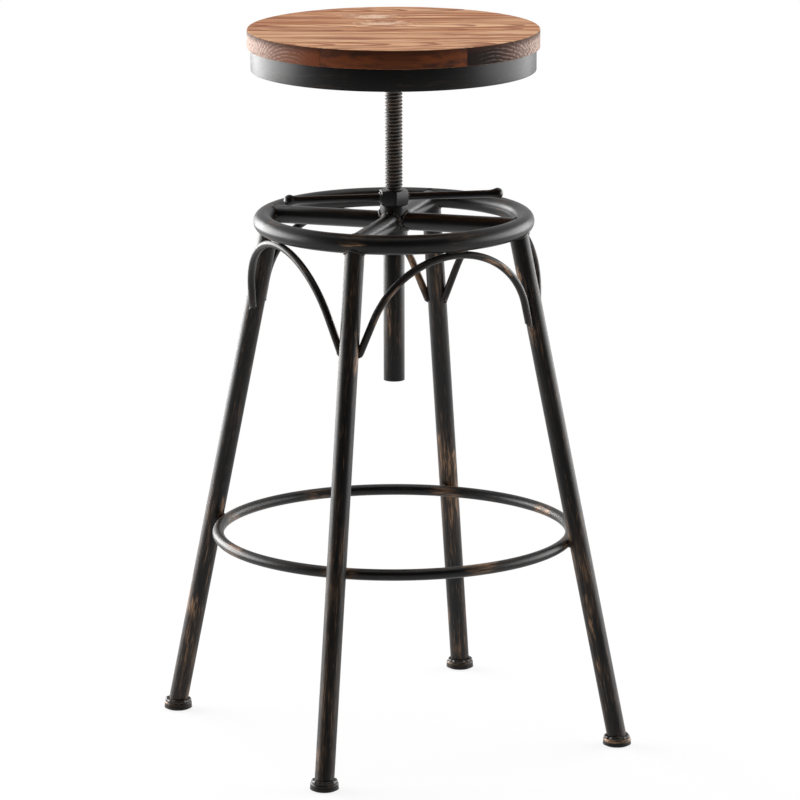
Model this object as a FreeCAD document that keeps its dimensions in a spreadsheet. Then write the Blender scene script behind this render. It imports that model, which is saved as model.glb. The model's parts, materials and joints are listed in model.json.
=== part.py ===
import FreeCAD, Part
import math
import os
import Sketcher
from collections import namedtuple

# Adjustable bar stool: a round board seat on a screw spindle, carried by a four-legged welded tube frame.
# Lengths are millimetres and angles degrees. The floor is z = 0, the spindle's axis is the Z axis, and -Y is
# the front, with one leg on each diagonal. The seat stands at the height that the photograph shows.

SIZES = [
    ("seat_top_height", 815, "floor to the sitting face"),
    ("seat_diameter", 330, "wooden seat"),
    ("seat_thickness", 21, "wooden seat"),
    ("seat_edge_ease", 1.2, "easing of the seat's top edge"),
    ("seat_angle", -27.8, "turn of the seat, along its boards, from the X axis"),
    ("board_width", 77.25, "full boards of the seat"),
    ("front_board_depth", 21, "cut-down board at the seat's front edge"),
    ("band_inset", 4, "overhang of the wood past the steel band"),
    ("band_height", 25.5, "steel band under the seat"),
    ("band_wall", 3, "steel band under the seat"),
    ("bar_width", 30, "flat bars across the band"),
    ("bar_thickness", 4, "flat bars across the band"),
    ("screw_circle_inner", 76, "radius of the inner seat screws"),
    ("screw_circle_outer", 128, "radius of the outer seat screws"),
    ("screw_diameter", 4.5, "seat screw shank"),
    ("screw_head_diameter", 9, "seat screw head"),
    ("screw_head_height", 3, "seat screw head"),
    ("screw_depth", 12, "seat screw length in the wood"),
    ("flange_diameter", 52, "collar at the spindle's top"),
    ("flange_thickness", 5, "collar at the spindle's top"),
    ("spindle_diameter", 20, "outside of the spindle's thread"),
    ("thread_clearance", 0.05, "radial play of the spindle in its nuts"),
    ("rise", 16, "travel left above the photographed height"),
    ("stop_gap", 0.3, "play left at the upper stop"),
    ("ring_height", 595.3, "floor to the centre of the top ring's tube"),
    ("ring_radius", 148.3, "axis to the centre of the top ring's tube"),
    ("ring_tube", 22, "top ring tube"),
    ("frame_wall", 1.5, "wall of the ring, leg and spoke tubes"),
    ("spoke_tube", 20.5, "tubes from the hub to the top ring"),
    ("hub_diameter", 31, "threaded boss"),
    ("hub_height", 40, "threaded boss"),
    ("hub_rise", 18.6, "top of the boss above the ring's centre"),
    ("hub_chamfer", 1, "edges of the boss"),
    ("guide_tube", 24, "tube round the spindle's lower end"),
    ("guide_wall", 1.2, "wall of the guide tube"),
    ("guide_bottom", 410.5, "floor to the guide tube's open end"),
    ("guide_seat", 8, "depth of the guide tube in the boss"),
    ("bush_height", 12, "guide bush on the spindle's end"),
    ("bush_clearance", 0.1, "radial play of the bush, and its play end to end"),
    ("washer_diameter", 19, "washer under the bush"),
    ("washer_thickness", 2, "washer under the bush"),
    ("bolt_diameter", 8, "bolt in the spindle's end"),
    ("bolt_grip", 15, "length of that bolt in the spindle"),
    ("bolt_across", 13, "hexagon of the bolt's head, across its flats"),
    ("bolt_head_height", 4, "bolt head"),
    ("nut_across", 30, "hexagon of the lock nut, across its flats"),
    ("nut_height", 16.6, "lock nut"),
    ("nut_chamfer_angle", 30, "slope of the lock nut's trimmed corners"),
    ("nut_angle", -17.8, "turn of the lock nut's right arm from the X axis"),
    ("arm_diameter", 8.5, "arms of the lock nut"),
    ("arm_reach", 119.5, "axis to the centre of an arm's ball"),
    ("ball_diameter", 13, "ball on an arm's end"),
    ("neck_length", 11, "start of an arm's taper before the centre of its ball"),
    ("neck_angle", 30, "where the taper meets the ball, from the ball's middle"),
    ("leg_angle", 45, "turn of the first leg from the X axis"),
    ("leg_tube", 22, "legs"),
    ("leg_inset", 3.3, "leg's centre line inside the ring's, at the ring's height"),
    ("leg_end_drop", 4.5, "end of a leg's tube below the ring's centre"),
    ("foot_circle_radius", 265.5, "axis to the centre of a foot"),
    ("cap_diameter", 32.5, "steel foot discs"),
    ("cap_height", 8, "steel foot discs"),
    ("cap_round", 2.5, "top edge of the foot discs"),
    ("glide_diameter", 27, "plastic glides under the feet"),
    ("glide_height", 3, "plastic glides under the feet"),
    ("glide_recess", 1.5, "depth of a glide in its foot disc"),
    ("foot_ring_height", 232.7, "floor to the centre of the foot ring's tube"),
    ("foot_ring_tube", 13, "foot ring tube"),
    ("foot_ring_wall", 1.2, "wall of the foot ring tube"),
    ("weld_bite", 0.3, "depth of a ground flat where two round pieces are welded"),
    ("arch_rod", 8.5, "rod of the arches"),
    ("arch_end_height", 479, "floor to the ends of an arch"),
    ("arch_flank", 6, "ends of an arch outside the leg's centre line"),
    ("arch_end_bite", 1.75, "depth of an arch's end in its saddle on the leg"),
    ("arch_spread", 6.3, "spread of an arch's straight tails past its bend"),
]

SEAT_BOARDS = 5
LEG_PLACES = ["back_right", "back_left", "front_left", "front_right"]
ARCH_PLACES = ["back", "left", "front", "right"]
QUARTER = 360 / len(LEG_PLACES)

X_AXIS = FreeCAD.Vector(1, 0, 0)
Y_AXIS = FreeCAD.Vector(0, 1, 0)
Z_AXIS = FreeCAD.Vector(0, 0, 1)

# Starting values of sketches and turns, which their formulas then replace
ROUGH_LENGTH = 10
ROUGH_ANGLE = 1

# Largest difference between two lengths that count as the same
SAME_LENGTH = 1e-4

HEXAGON_SIDES = 6
HALF_SIDE = f"{180 / HEXAGON_SIDES} deg"

ScrewPlace = namedtuple("ScrewPlace", ["formulas", "across", "along"])

size = {alias: number for alias, number, meaning in SIZES}

doc = FreeCAD.newDocument("BarStool")
sheet = doc.addObject("Spreadsheet::Sheet", "Sizes")
for row, (alias, number, meaning) in enumerate(SIZES, start=1):
    sheet.set(f"A{row}", alias)
    sheet.set(f"B{row}", str(number))
    sheet.set(f"C{row}", meaning)
    sheet.setAlias(f"B{row}", alias)
doc.recompute()


def half(alias):
    """Formula of half a size in the sheet."""
    return f"(Sizes.{alias} / 2)"


# Heights and radii that several pieces share, as formulas of the sheet's sizes

SEAT_RADIUS = half("seat_diameter")
WOOD_UNDERSIDE = "(Sizes.seat_top_height - Sizes.seat_thickness)"
BAR_UNDERSIDE = f"({WOOD_UNDERSIDE} - Sizes.bar_thickness)"
SCREW_END = f"({WOOD_UNDERSIDE} + Sizes.screw_depth)"
BAND_RADIUS = f"({SEAT_RADIUS} - Sizes.band_inset)"
BAND_BORE = f"({BAND_RADIUS} - Sizes.band_wall)"
SPINDLE_RADIUS = half("spindle_diameter")
THREAD_BORE = f"({SPINDLE_RADIUS} + Sizes.thread_clearance)"
HUB_TOP = "(Sizes.ring_height + Sizes.hub_rise)"
HUB_BOTTOM = f"({HUB_TOP} - Sizes.hub_height)"
GUIDE_TOP = f"({HUB_BOTTOM} + Sizes.guide_seat)"
GUIDE_BORE = f"({half('guide_tube')} - Sizes.guide_wall)"
BUSH_TOP = f"({GUIDE_TOP} - Sizes.rise - Sizes.stop_gap)"
BUSH_BOTTOM = f"({BUSH_TOP} - Sizes.bush_height)"
SPINDLE_BOTTOM = f"({BUSH_TOP} + Sizes.bush_clearance)"
WASHER_TOP = f"({BUSH_BOTTOM} - Sizes.bush_clearance)"
WASHER_BOTTOM = f"({WASHER_TOP} - Sizes.washer_thickness)"
BOLT_END = f"({SPINDLE_BOTTOM} + Sizes.bolt_grip)"
NUT_TOP = f"({HUB_TOP} + Sizes.nut_height)"
NUT_MIDDLE = f"({HUB_TOP} + Sizes.nut_height / 2)"
CAP_BOTTOM = "(Sizes.glide_height - Sizes.glide_recess)"
CAP_TOP = f"({CAP_BOTTOM} + Sizes.cap_height)"
LEG_TOP_RADIUS = "(Sizes.ring_radius - Sizes.leg_inset)"
LEG_RISE = f"(Sizes.ring_height - {CAP_TOP})"
LEG_SLOPE = f"((Sizes.foot_circle_radius - {LEG_TOP_RADIUS}) / {LEG_RISE})"
LEG_LEAN = f"atan({LEG_SLOPE})"
LEG_OVERRUN = "Sizes.leg_tube"
LEG_CUT = "(4 * Sizes.leg_tube)"
SEAT_CUT = "(2 * Sizes.seat_diameter)"


def leg_radius_at(height):
    """Formula of a leg's centre line: its distance from the axis at a height."""
    return f"(Sizes.foot_circle_radius - {LEG_SLOPE} * ({height} - {CAP_TOP}))"


FOOT_RING_RADIUS = (
    f"({leg_radius_at('Sizes.foot_ring_height')} - {half('leg_tube')} / cos({LEG_LEAN})"
    f" - {half('foot_ring_tube')} + Sizes.weld_bite)"
)
ARCH_APEX_HEIGHT = f"(Sizes.ring_height - {half('ring_tube')} - {half('arch_rod')} + Sizes.weld_bite)"
ARCH_END_REACH = f"({half('leg_tube')} + {half('arch_rod')} - Sizes.arch_end_bite)"
ARCH_END_INWARD = f"sqrt({ARCH_END_REACH} * {ARCH_END_REACH} - Sizes.arch_flank * Sizes.arch_flank)"
ARCH_LEG_OFFSET = f"({leg_radius_at('Sizes.arch_end_height')} * cos({QUARTER / 2} deg))"
ARCH_END_SPAN = f"({ARCH_LEG_OFFSET} - {ARCH_END_INWARD})"
ARCH_END_RADIUS = f"({ARCH_LEG_OFFSET} + Sizes.arch_flank)"
ARCH_FALL = f"({ARCH_APEX_HEIGHT} - Sizes.arch_end_height)"
ARCH_TILT = f"atan((Sizes.ring_radius - {ARCH_END_RADIUS}) / {ARCH_FALL})"
ARCH_BEND_RADIUS = f"({ARCH_END_SPAN} - Sizes.arch_spread)"


def bind(target, formulas):
    """Ties properties of an object to formulas of the sheet's sizes."""
    for name, formula in formulas.items():
        target.setExpression(name, formula)


def new_body(label, turn="0"):
    """An empty sub-part in the stool's frame, turned about the Z axis."""
    body = doc.addObject("PartDesign::Body", label)
    body.Label = label
    body.Placement = FreeCAD.Placement(FreeCAD.Vector(), FreeCAD.Rotation(Z_AXIS, ROUGH_ANGLE))
    bind(body, {"Placement.Rotation.Angle": turn})
    return body


def origin_part(body, role):
    """One of a body's own origin planes or axes."""
    return next(part for part in body.Origin.OriginFeatures if part.Role == role)


def primitive(body, kind, name, formulas, turn_axis=None):
    """A round or square form added to or cut from a body, which may lean about one axis."""
    feature = body.newObject(f"PartDesign::{kind}", f"{body.Name}_{name}")
    if turn_axis is not None:
        feature.Placement = FreeCAD.Placement(FreeCAD.Vector(), FreeCAD.Rotation(turn_axis, ROUGH_ANGLE))
    bind(feature, formulas)
    return feature


def upright(radius, bottom, top):
    """Sizes of a cylinder that stands on the Z axis between two heights."""
    return {"Radius": radius, "Height": f"{top} - {bottom}", "Placement.Base.z": bottom}


def tube(body, outside, inside, bottom, top):
    """A tube or drilled disc on the Z axis."""
    primitive(body, "AdditiveCylinder", "outside", upright(outside, bottom, top))
    return primitive(body, "SubtractiveCylinder", "bore", upright(inside, bottom, top))


def new_sketch(body, role, name):
    """A sketch on one of a body's own origin planes."""
    sketch = body.newObject("Sketcher::SketchObject", f"{body.Name}_{name}")
    sketch.AttachmentSupport = [(origin_part(body, role), "")]
    sketch.MapMode = "FlatFace"
    return sketch


def hexagon(sketch, across):
    """A regular hexagon round the origin, with flats facing along its first axis, by its width across flats."""
    corners = []
    for index in range(HEXAGON_SIDES):
        angle = 2 * math.pi * (index - 0.5) / HEXAGON_SIDES
        corners.append(FreeCAD.Vector(math.cos(angle), math.sin(angle), 0) * ROUGH_LENGTH)
    for corner, next_corner in zip(corners, corners[1:] + corners[:1]):
        sketch.addGeometry(Part.LineSegment(corner, next_corner))
    circle = sketch.addGeometry(Part.Circle(FreeCAD.Vector(), Z_AXIS, ROUGH_LENGTH), True)
    sketch.addConstraint(Sketcher.Constraint("Coincident", circle, 3, -1, 1))
    for side in range(HEXAGON_SIDES):
        next_side = (side + 1) % HEXAGON_SIDES
        sketch.addConstraint(Sketcher.Constraint("Coincident", side, 2, next_side, 1))
        sketch.addConstraint(Sketcher.Constraint("PointOnObject", side, 1, circle))
    for side in range(HEXAGON_SIDES - 1):
        sketch.addConstraint(Sketcher.Constraint("Equal", side, side + 1))
    sketch.addConstraint(Sketcher.Constraint("Vertical", 0))
    reach = sketch.addConstraint(Sketcher.Constraint("Radius", circle, ROUGH_LENGTH))
    bind(sketch, {f"Constraints[{reach}]": f"{across} / 2 / cos({HALF_SIDE})"})


def triangle(sketch, corners):
    """A triangle by the distances of its corners from the sketch's axes."""
    rough = [FreeCAD.Vector(1, 1, 0), FreeCAD.Vector(2, 1, 0), FreeCAD.Vector(2, 2, 0)]
    start = [corner * ROUGH_LENGTH for corner in rough]
    for index in range(3):
        sketch.addGeometry(Part.LineSegment(start[index], start[(index + 1) % 3]))
    for index in range(3):
        sketch.addConstraint(Sketcher.Constraint("Coincident", index, 2, (index + 1) % 3, 1))
    for index, (across, up) in enumerate(corners):
        first = sketch.addConstraint(Sketcher.Constraint("DistanceX", -1, 1, index, 1, start[index].x))
        second = sketch.addConstraint(Sketcher.Constraint("DistanceY", -1, 1, index, 1, start[index].y))
        bind(sketch, {f"Constraints[{first}]": across, f"Constraints[{second}]": up})


def hexagon_pad(body, across, bottom, height):
    """A hexagonal prism on the Z axis."""
    sketch = new_sketch(body, "XY_Plane", "hexagon")
    bind(sketch, {"AttachmentOffset.Base.z": bottom})
    hexagon(sketch, across)
    pad = body.newObject("PartDesign::Pad", f"{body.Name}_pad")
    pad.Profile = sketch
    bind(pad, {"Length": height})
    return pad


def ease_edge(body, kind, name, sizes, wanted):
    """A fillet or chamfer on the edges of a body that a test picks out."""
    doc.recompute()
    base = body.Tip
    edges = [f"Edge{i}" for i, edge in enumerate(base.Shape.Edges, start=1) if wanted(edge)]
    feature = body.newObject(f"PartDesign::{kind}", f"{body.Name}_{name}")
    feature.Base = (base, edges)
    bind(feature, sizes)
    return feature


def is_circle_at(edge, radius, height):
    """Whether an edge is a level circle of this radius at this height."""
    box = edge.BoundBox
    level = abs(box.ZMin - height) < SAME_LENGTH and abs(box.ZMax - height) < SAME_LENGTH
    return level and hasattr(edge.Curve, "Radius") and abs(edge.Curve.Radius - radius) < SAME_LENGTH


def leg_cylinder(body, kind, name, radius, length, turn=0):
    """A cylinder on the centre line of a leg that stands at a turn from the body's X axis."""
    across = math.radians(turn)
    lean_axis = FreeCAD.Vector(-math.sin(across), math.cos(across), 0)
    start = f"(Sizes.foot_circle_radius + {LEG_OVERRUN} * sin({LEG_LEAN}))"
    sizes = {
        "Radius": radius,
        "Height": length,
        "Placement.Base.x": f"{start} * cos({turn} deg)",
        "Placement.Base.y": f"{start} * sin({turn} deg)",
        "Placement.Base.z": f"{CAP_TOP} - {LEG_OVERRUN} * cos({LEG_LEAN})",
        "Placement.Rotation.Angle": f"-{LEG_LEAN}",
    }
    return primitive(body, kind, name, sizes, lean_axis)


LEG_LENGTH = f"({LEG_RISE} - Sizes.leg_end_drop) / cos({LEG_LEAN}) + {LEG_OVERRUN}"
RING_SIZES = {
    "Radius1": "Sizes.ring_radius",
    "Radius2": half("ring_tube"),
    "Placement.Base.z": "Sizes.ring_height",
}


def along_spoke(radius, start, end):
    """Sizes of a cylinder along a spoke, between two distances from the axis."""
    return {
        "Radius": radius,
        "Height": f"{end} - {start}",
        "Placement.Base.x": start,
        "Placement.Base.z": "Sizes.ring_height",
        "Placement.Rotation.Angle": "90",
    }


def make_leg(label, turn):
    """A straight tube that leans in from its foot, trimmed level there and notched round the ring and spoke."""
    body = new_body(label, turn)
    leg_cylinder(body, "AdditiveCylinder", "outside", half("leg_tube"), LEG_LENGTH)
    leg_cylinder(body, "SubtractiveCylinder", "bore", f"{half('leg_tube')} - Sizes.frame_wall", LEG_LENGTH)
    primitive(body, "SubtractiveBox", "level_cut", {
        "Length": LEG_CUT,
        "Width": LEG_CUT,
        "Height": LEG_CUT,
        "Placement.Base.x": f"Sizes.foot_circle_radius - {LEG_CUT} / 2",
        "Placement.Base.y": f"-{LEG_CUT} / 2",
        "Placement.Base.z": f"{CAP_TOP} - {LEG_CUT}",
    })
    primitive(body, "SubtractiveTorus", "ring_notch", RING_SIZES)
    primitive(body, "SubtractiveCylinder", "spoke_notch",
              along_spoke(half("spoke_tube"), half("hub_diameter"), "Sizes.ring_radius"), Y_AXIS)
    return body


def make_spoke(label, turn):
    """A level tube, notched round the boss at one end and the ring at the other."""
    body = new_body(label, turn)
    start = f"({half('hub_diameter')} / 2)"
    primitive(body, "AdditiveCylinder", "outside",
              along_spoke(half("spoke_tube"), start, "Sizes.ring_radius"), Y_AXIS)
    primitive(body, "SubtractiveCylinder", "bore",
              along_spoke(f"{half('spoke_tube')} - Sizes.frame_wall", start, "Sizes.ring_radius"), Y_AXIS)
    primitive(body, "SubtractiveCylinder", "hub_notch", upright(half("hub_diameter"), HUB_BOTTOM, HUB_TOP))
    primitive(body, "SubtractiveTorus", "ring_notch", RING_SIZES)
    return body


def make_top_ring():
    """The ring of bent tube that joins the legs' tops."""
    body = new_body("top_ring")
    primitive(body, "AdditiveTorus", "outside", RING_SIZES)
    inside = dict(RING_SIZES, Radius2=f"{half('ring_tube')} - Sizes.frame_wall")
    primitive(body, "SubtractiveTorus", "inside", inside)
    return body


def make_foot_ring():
    """The ring of thinner tube inside the legs, with a small flat ground where it meets each leg."""
    body = new_body("foot_ring", "Sizes.leg_angle")
    outside = {
        "Radius1": FOOT_RING_RADIUS,
        "Radius2": half("foot_ring_tube"),
        "Placement.Base.z": "Sizes.foot_ring_height",
    }
    primitive(body, "AdditiveTorus", "outside", outside)
    inside = dict(outside, Radius2=f"{half('foot_ring_tube')} - Sizes.foot_ring_wall")
    primitive(body, "SubtractiveTorus", "inside", inside)
    notch = leg_cylinder(body, "SubtractiveCylinder", "leg_notch", half("leg_tube"), LEG_LENGTH)
    pattern = body.newObject("PartDesign::PolarPattern", "foot_ring_leg_notches")
    pattern.Originals = [notch]
    pattern.Axis = (origin_part(body, "Z_Axis"), [""])
    pattern.Angle = 360
    pattern.Occurrences = len(LEG_PLACES)
    body.Tip = pattern
    return body


def make_arch(label, turn):
    """A rod bent to an arch under the ring, leaning in to straight tails that lie against two legs."""
    body = new_body(label, turn)
    path = new_sketch(body, "YZ_Plane", "path")
    path.AttachmentOffset = FreeCAD.Placement(FreeCAD.Vector(), FreeCAD.Rotation(X_AXIS, ROUGH_ANGLE))
    bind(path, {
        "AttachmentOffset.Base.y": ARCH_APEX_HEIGHT,
        "AttachmentOffset.Base.z": "Sizes.ring_radius",
        "AttachmentOffset.Rotation.Angle": ARCH_TILT,
    })
    # A rough form of the bend and its tail, near enough for the constraints to settle on the real one
    rough_radius = 10 * ROUGH_LENGTH
    rough_tail = 4 * ROUGH_LENGTH
    rough_turn = math.radians(20)
    centre = FreeCAD.Vector(0, -rough_radius, 0)
    bend = Part.ArcOfCircle(Part.Circle(centre, Z_AXIS, rough_radius), rough_turn, math.pi / 2)
    joint = bend.StartPoint
    tail_end = joint + FreeCAD.Vector(math.sin(rough_turn), -math.cos(rough_turn), 0) * rough_tail
    path.addGeometry(bend)
    path.addGeometry(Part.LineSegment(joint, tail_end))
    path.addConstraint(Sketcher.Constraint("Coincident", 0, 2, -1, 1))
    path.addConstraint(Sketcher.Constraint("PointOnObject", 0, 3, -2))
    path.addConstraint(Sketcher.Constraint("Tangent", 0, 1, 1, 1))
    radius = path.addConstraint(Sketcher.Constraint("Radius", 0, rough_radius))
    span = path.addConstraint(Sketcher.Constraint("DistanceX", -1, 1, 1, 2, tail_end.x))
    fall = path.addConstraint(Sketcher.Constraint("DistanceY", 1, 2, -1, 1, -tail_end.y))
    bind(path, {
        f"Constraints[{radius}]": ARCH_BEND_RADIUS,
        f"Constraints[{span}]": ARCH_END_SPAN,
        f"Constraints[{fall}]": f"{ARCH_FALL} / cos({ARCH_TILT})",
    })
    section = new_sketch(body, "XZ_Plane", "section")
    rough_centre = FreeCAD.Vector(ROUGH_LENGTH, ROUGH_LENGTH, 0)
    section.addGeometry(Part.Circle(rough_centre, Z_AXIS, ROUGH_LENGTH))
    rod = section.addConstraint(Sketcher.Constraint("Radius", 0, ROUGH_LENGTH))
    out = section.addConstraint(Sketcher.Constraint("DistanceX", -1, 1, 0, 3, ROUGH_LENGTH))
    up = section.addConstraint(Sketcher.Constraint("DistanceY", -1, 1, 0, 3, ROUGH_LENGTH))
    bind(section, {
        f"Constraints[{rod}]": half("arch_rod"),
        f"Constraints[{out}]": "Sizes.ring_radius",
        f"Constraints[{up}]": ARCH_APEX_HEIGHT,
    })
    doc.recompute()
    strand = body.newObject("PartDesign::AdditivePipe", f"{label}_strand")
    strand.Profile = section
    strand.Spine = (path, [])
    doc.recompute()
    mirror = body.newObject("PartDesign::Mirrored", f"{label}_other_strand")
    mirror.Originals = [strand]
    mirror.MirrorPlane = (origin_part(body, "XZ_Plane"), [""])
    body.Tip = mirror
    primitive(body, "SubtractiveTorus", "ring_notch", RING_SIZES)
    for turn_to_leg, side in ((QUARTER / 2, "left"), (-QUARTER / 2, "right")):
        leg_cylinder(body, "SubtractiveCylinder", f"{side}_saddle", half("leg_tube"), LEG_LENGTH, turn_to_leg)
    return body


def make_foot_cap(label, turn):
    """A steel disc under a leg, with a recess for its glide and a rounded top edge."""
    body = new_body(label, turn)
    disc = upright(half("cap_diameter"), CAP_BOTTOM, CAP_TOP)
    recess = upright(half("glide_diameter"), CAP_BOTTOM, "Sizes.glide_height")
    for kind, name, sizes in (("AdditiveCylinder", "disc", disc), ("SubtractiveCylinder", "recess", recess)):
        sizes["Placement.Base.x"] = "Sizes.foot_circle_radius"
        primitive(body, kind, name, sizes)
    top = size["glide_height"] - size["glide_recess"] + size["cap_height"]
    ease_edge(body, "Fillet", "round", {"Radius": "Sizes.cap_round"},
              lambda edge: is_circle_at(edge, size["cap_diameter"] / 2, top))
    return body


def make_foot_glide(label, turn):
    """A plastic pad held in a foot disc's recess, which meets the floor."""
    body = new_body(label, turn)
    pad = upright(half("glide_diameter"), "0", "Sizes.glide_height")
    pad["Placement.Base.x"] = "Sizes.foot_circle_radius"
    primitive(body, "AdditiveCylinder", "pad", pad)
    return body


def make_hub():
    """The threaded boss in the middle of the spokes, counterbored below for the guide tube."""
    body = new_body("hub")
    tube(body, half("hub_diameter"), THREAD_BORE, HUB_BOTTOM, HUB_TOP)
    primitive(body, "SubtractiveCylinder", "guide_seat", upright(half("guide_tube"), HUB_BOTTOM, GUIDE_TOP))
    top = size["ring_height"] + size["hub_rise"]
    ends = (top, top - size["hub_height"])
    ease_edge(body, "Chamfer", "chamfer", {"Size": "Sizes.hub_chamfer"},
              lambda edge: any(is_circle_at(edge, size["hub_diameter"] / 2, end) for end in ends))
    return body


def make_guide_tube():
    """The open tube that hides and steadies the spindle's lower end."""
    body = new_body("guide_tube")
    tube(body, half("guide_tube"), GUIDE_BORE, "Sizes.guide_bottom", GUIDE_TOP)
    return body


def make_base():
    """The welded frame, its feet and the boss that the spindle turns in."""
    parts = []
    for index, place in enumerate(LEG_PLACES):
        turn = f"Sizes.leg_angle + {index * QUARTER}"
        parts.append(make_leg(f"leg_{place}", turn))
        parts.append(make_spoke(f"spoke_{place}", turn))
        parts.append(make_foot_cap(f"foot_cap_{place}", turn))
        parts.append(make_foot_glide(f"foot_glide_{place}", turn))
    parts.append(make_hub())
    parts.append(make_guide_tube())
    parts.append(make_top_ring())
    parts.append(make_foot_ring())
    for index, place in enumerate(ARCH_PLACES):
        parts.append(make_arch(f"arch_{place}", f"Sizes.leg_angle + {(index + 0.5) * QUARTER}"))
    return parts


def make_lock_nut():
    """The hexagonal nut that clamps the spindle on the boss, with its corners trimmed at both ends."""
    body = new_body("lock_nut", "Sizes.nut_angle")
    hexagon_pad(body, "Sizes.nut_across", HUB_TOP, "Sizes.nut_height")
    primitive(body, "SubtractiveCylinder", "bore", upright(THREAD_BORE, HUB_TOP, NUT_TOP))
    inner = half("nut_across")
    outer = "Sizes.nut_across"
    slope = f"(({outer} - {inner}) * tan(Sizes.nut_chamfer_angle * 1 deg))"
    for name, end, sign in (("top", NUT_TOP, "-"), ("bottom", HUB_TOP, "+")):
        sketch = new_sketch(body, "XZ_Plane", f"{name}_corner")
        triangle(sketch, [(inner, end), (outer, end), (outer, f"{end} {sign} {slope}")])
        groove = body.newObject("PartDesign::Groove", f"lock_nut_{name}_trim")
        groove.Profile = sketch
        groove.ReferenceAxis = (origin_part(body, "Z_Axis"), [""])
        groove.Angle = 360
    return body


def make_lock_arm(label, turn):
    """A round arm welded square to one flat of the lock nut, swelling to a ball at its end."""
    body = new_body(label, turn)
    ball_radius = half("ball_diameter")
    neck_end = f"(Sizes.arm_reach - {ball_radius} * sin(Sizes.neck_angle * 1 deg))"
    neck_start = "(Sizes.arm_reach - Sizes.neck_length)"
    level = {"Placement.Base.z": NUT_MIDDLE, "Placement.Rotation.Angle": "90"}
    primitive(body, "AdditiveCylinder", "rod", {
        "Radius": half("arm_diameter"),
        "Height": f"Sizes.arm_reach - {half('nut_across')}",
        "Placement.Base.x": half("nut_across"),
        **level,
    }, Y_AXIS)
    primitive(body, "AdditiveSphere", "ball", {
        "Radius": ball_radius,
        "Placement.Base.x": "Sizes.arm_reach",
        **level,
    }, Y_AXIS)
    primitive(body, "AdditiveCone", "neck", {
        "Radius1": half("arm_diameter"),
        "Radius2": f"{ball_radius} * cos(Sizes.neck_angle * 1 deg)",
        "Height": f"{neck_end} - {neck_start}",
        "Placement.Base.x": neck_start,
        **level,
    }, Y_AXIS)
    return body


def make_lock():
    """The lock nut with its two arms."""
    return [
        make_lock_nut(),
        make_lock_arm("lock_arm_right", "Sizes.nut_angle"),
        make_lock_arm("lock_arm_left", "Sizes.nut_angle + 180"),
    ]


def make_guide_bush():
    """The bush that slides in the guide tube without turning and stops the spindle at its highest."""
    body = new_body("guide_bush")
    tube(body, f"{GUIDE_BORE} - Sizes.bush_clearance", f"{half('bolt_diameter')} + Sizes.bush_clearance",
         BUSH_BOTTOM, BUSH_TOP)
    return body


def cut_beyond(body, name, chord, side, across="y"):
    """Cuts a disc away on one side of a chord, which crosses the Y axis or the X axis."""
    along = "x" if across == "y" else "y"
    primitive(body, "SubtractiveBox", name, {
        "Length": SEAT_CUT,
        "Width": SEAT_CUT,
        "Height": "2 * Sizes.seat_top_height",
        f"Placement.Base.{along}": f"-{SEAT_CUT} / 2",
        f"Placement.Base.{across}": chord if side > 0 else f"{chord} - {SEAT_CUT}",
    })


def screw_places():
    """Each seat screw's place on the cross of bars, as formulas and as numbers."""
    places = []
    for alias in ("screw_circle_inner", "screw_circle_outer"):
        for across, along in ((1, 0), (0, 1), (-1, 0), (0, -1)):
            formulas = {
                "Placement.Base.x": f"{across} * Sizes.{alias}",
                "Placement.Base.y": f"{along} * Sizes.{alias}",
            }
            places.append(ScrewPlace(formulas, across * size[alias], along * size[alias]))
    return places


def make_board(number):
    """One of the seat's edge-glued boards: a slice of the round seat, drilled for the screws below it."""
    body = new_body(f"seat_board_{number + 1}", "Sizes.seat_angle")
    primitive(body, "AdditiveCylinder", "disc", upright(SEAT_RADIUS, WOOD_UNDERSIDE, "Sizes.seat_top_height"))
    first_joint = f"(Sizes.front_board_depth - {SEAT_RADIUS})"
    first_number = size["front_board_depth"] - size["seat_diameter"] / 2
    front, back = -size["seat_diameter"], size["seat_diameter"]
    if number > 0:
        cut_beyond(body, "front_joint", f"({first_joint} + {number - 1} * Sizes.board_width)", -1)
        front = first_number + (number - 1) * size["board_width"]
    if number < SEAT_BOARDS - 1:
        cut_beyond(body, "back_joint", f"({first_joint} + {number} * Sizes.board_width)", 1)
        back = first_number + number * size["board_width"]
    reach = size["screw_diameter"] / 2
    hole = upright(half("screw_diameter"), WOOD_UNDERSIDE, SCREW_END)
    for index, place in enumerate(screw_places()):
        if front - reach < place.along < back + reach:
            primitive(body, "SubtractiveCylinder", f"hole_{index}", {**hole, **place.formulas})
    ease_edge(body, "Chamfer", "ease", {"Size": "Sizes.seat_edge_ease"},
              lambda edge: is_circle_at(edge, size["seat_diameter"] / 2, size["seat_top_height"]))
    return body


def make_seat_band():
    """The rolled flat bar under the seat's rim."""
    body = new_body("seat_band")
    tube(body, BAND_RADIUS, BAND_BORE, f"({WOOD_UNDERSIDE} - Sizes.band_height)", WOOD_UNDERSIDE)
    return body


def make_cross_bar(label, turn, whole):
    """A flat bar across the band, drilled for the seat screws: the whole bar, or a half welded to its side."""
    body = new_body(label, turn)
    primitive(body, "AdditiveCylinder", "disc", upright(BAND_BORE, BAR_UNDERSIDE, WOOD_UNDERSIDE))
    cut_beyond(body, "front_side", f"(-{half('bar_width')})", -1)
    cut_beyond(body, "back_side", half("bar_width"), 1)
    if not whole:
        cut_beyond(body, "butt_end", half("bar_width"), -1, across="x")
    hole = upright(half("screw_diameter"), BAR_UNDERSIDE, WOOD_UNDERSIDE)
    for index, place in enumerate(screw_places()):
        if place.along == 0 and (whole or place.across > 0):
            primitive(body, "SubtractiveCylinder", f"hole_{index}", {**hole, **place.formulas})
    return body


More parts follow.
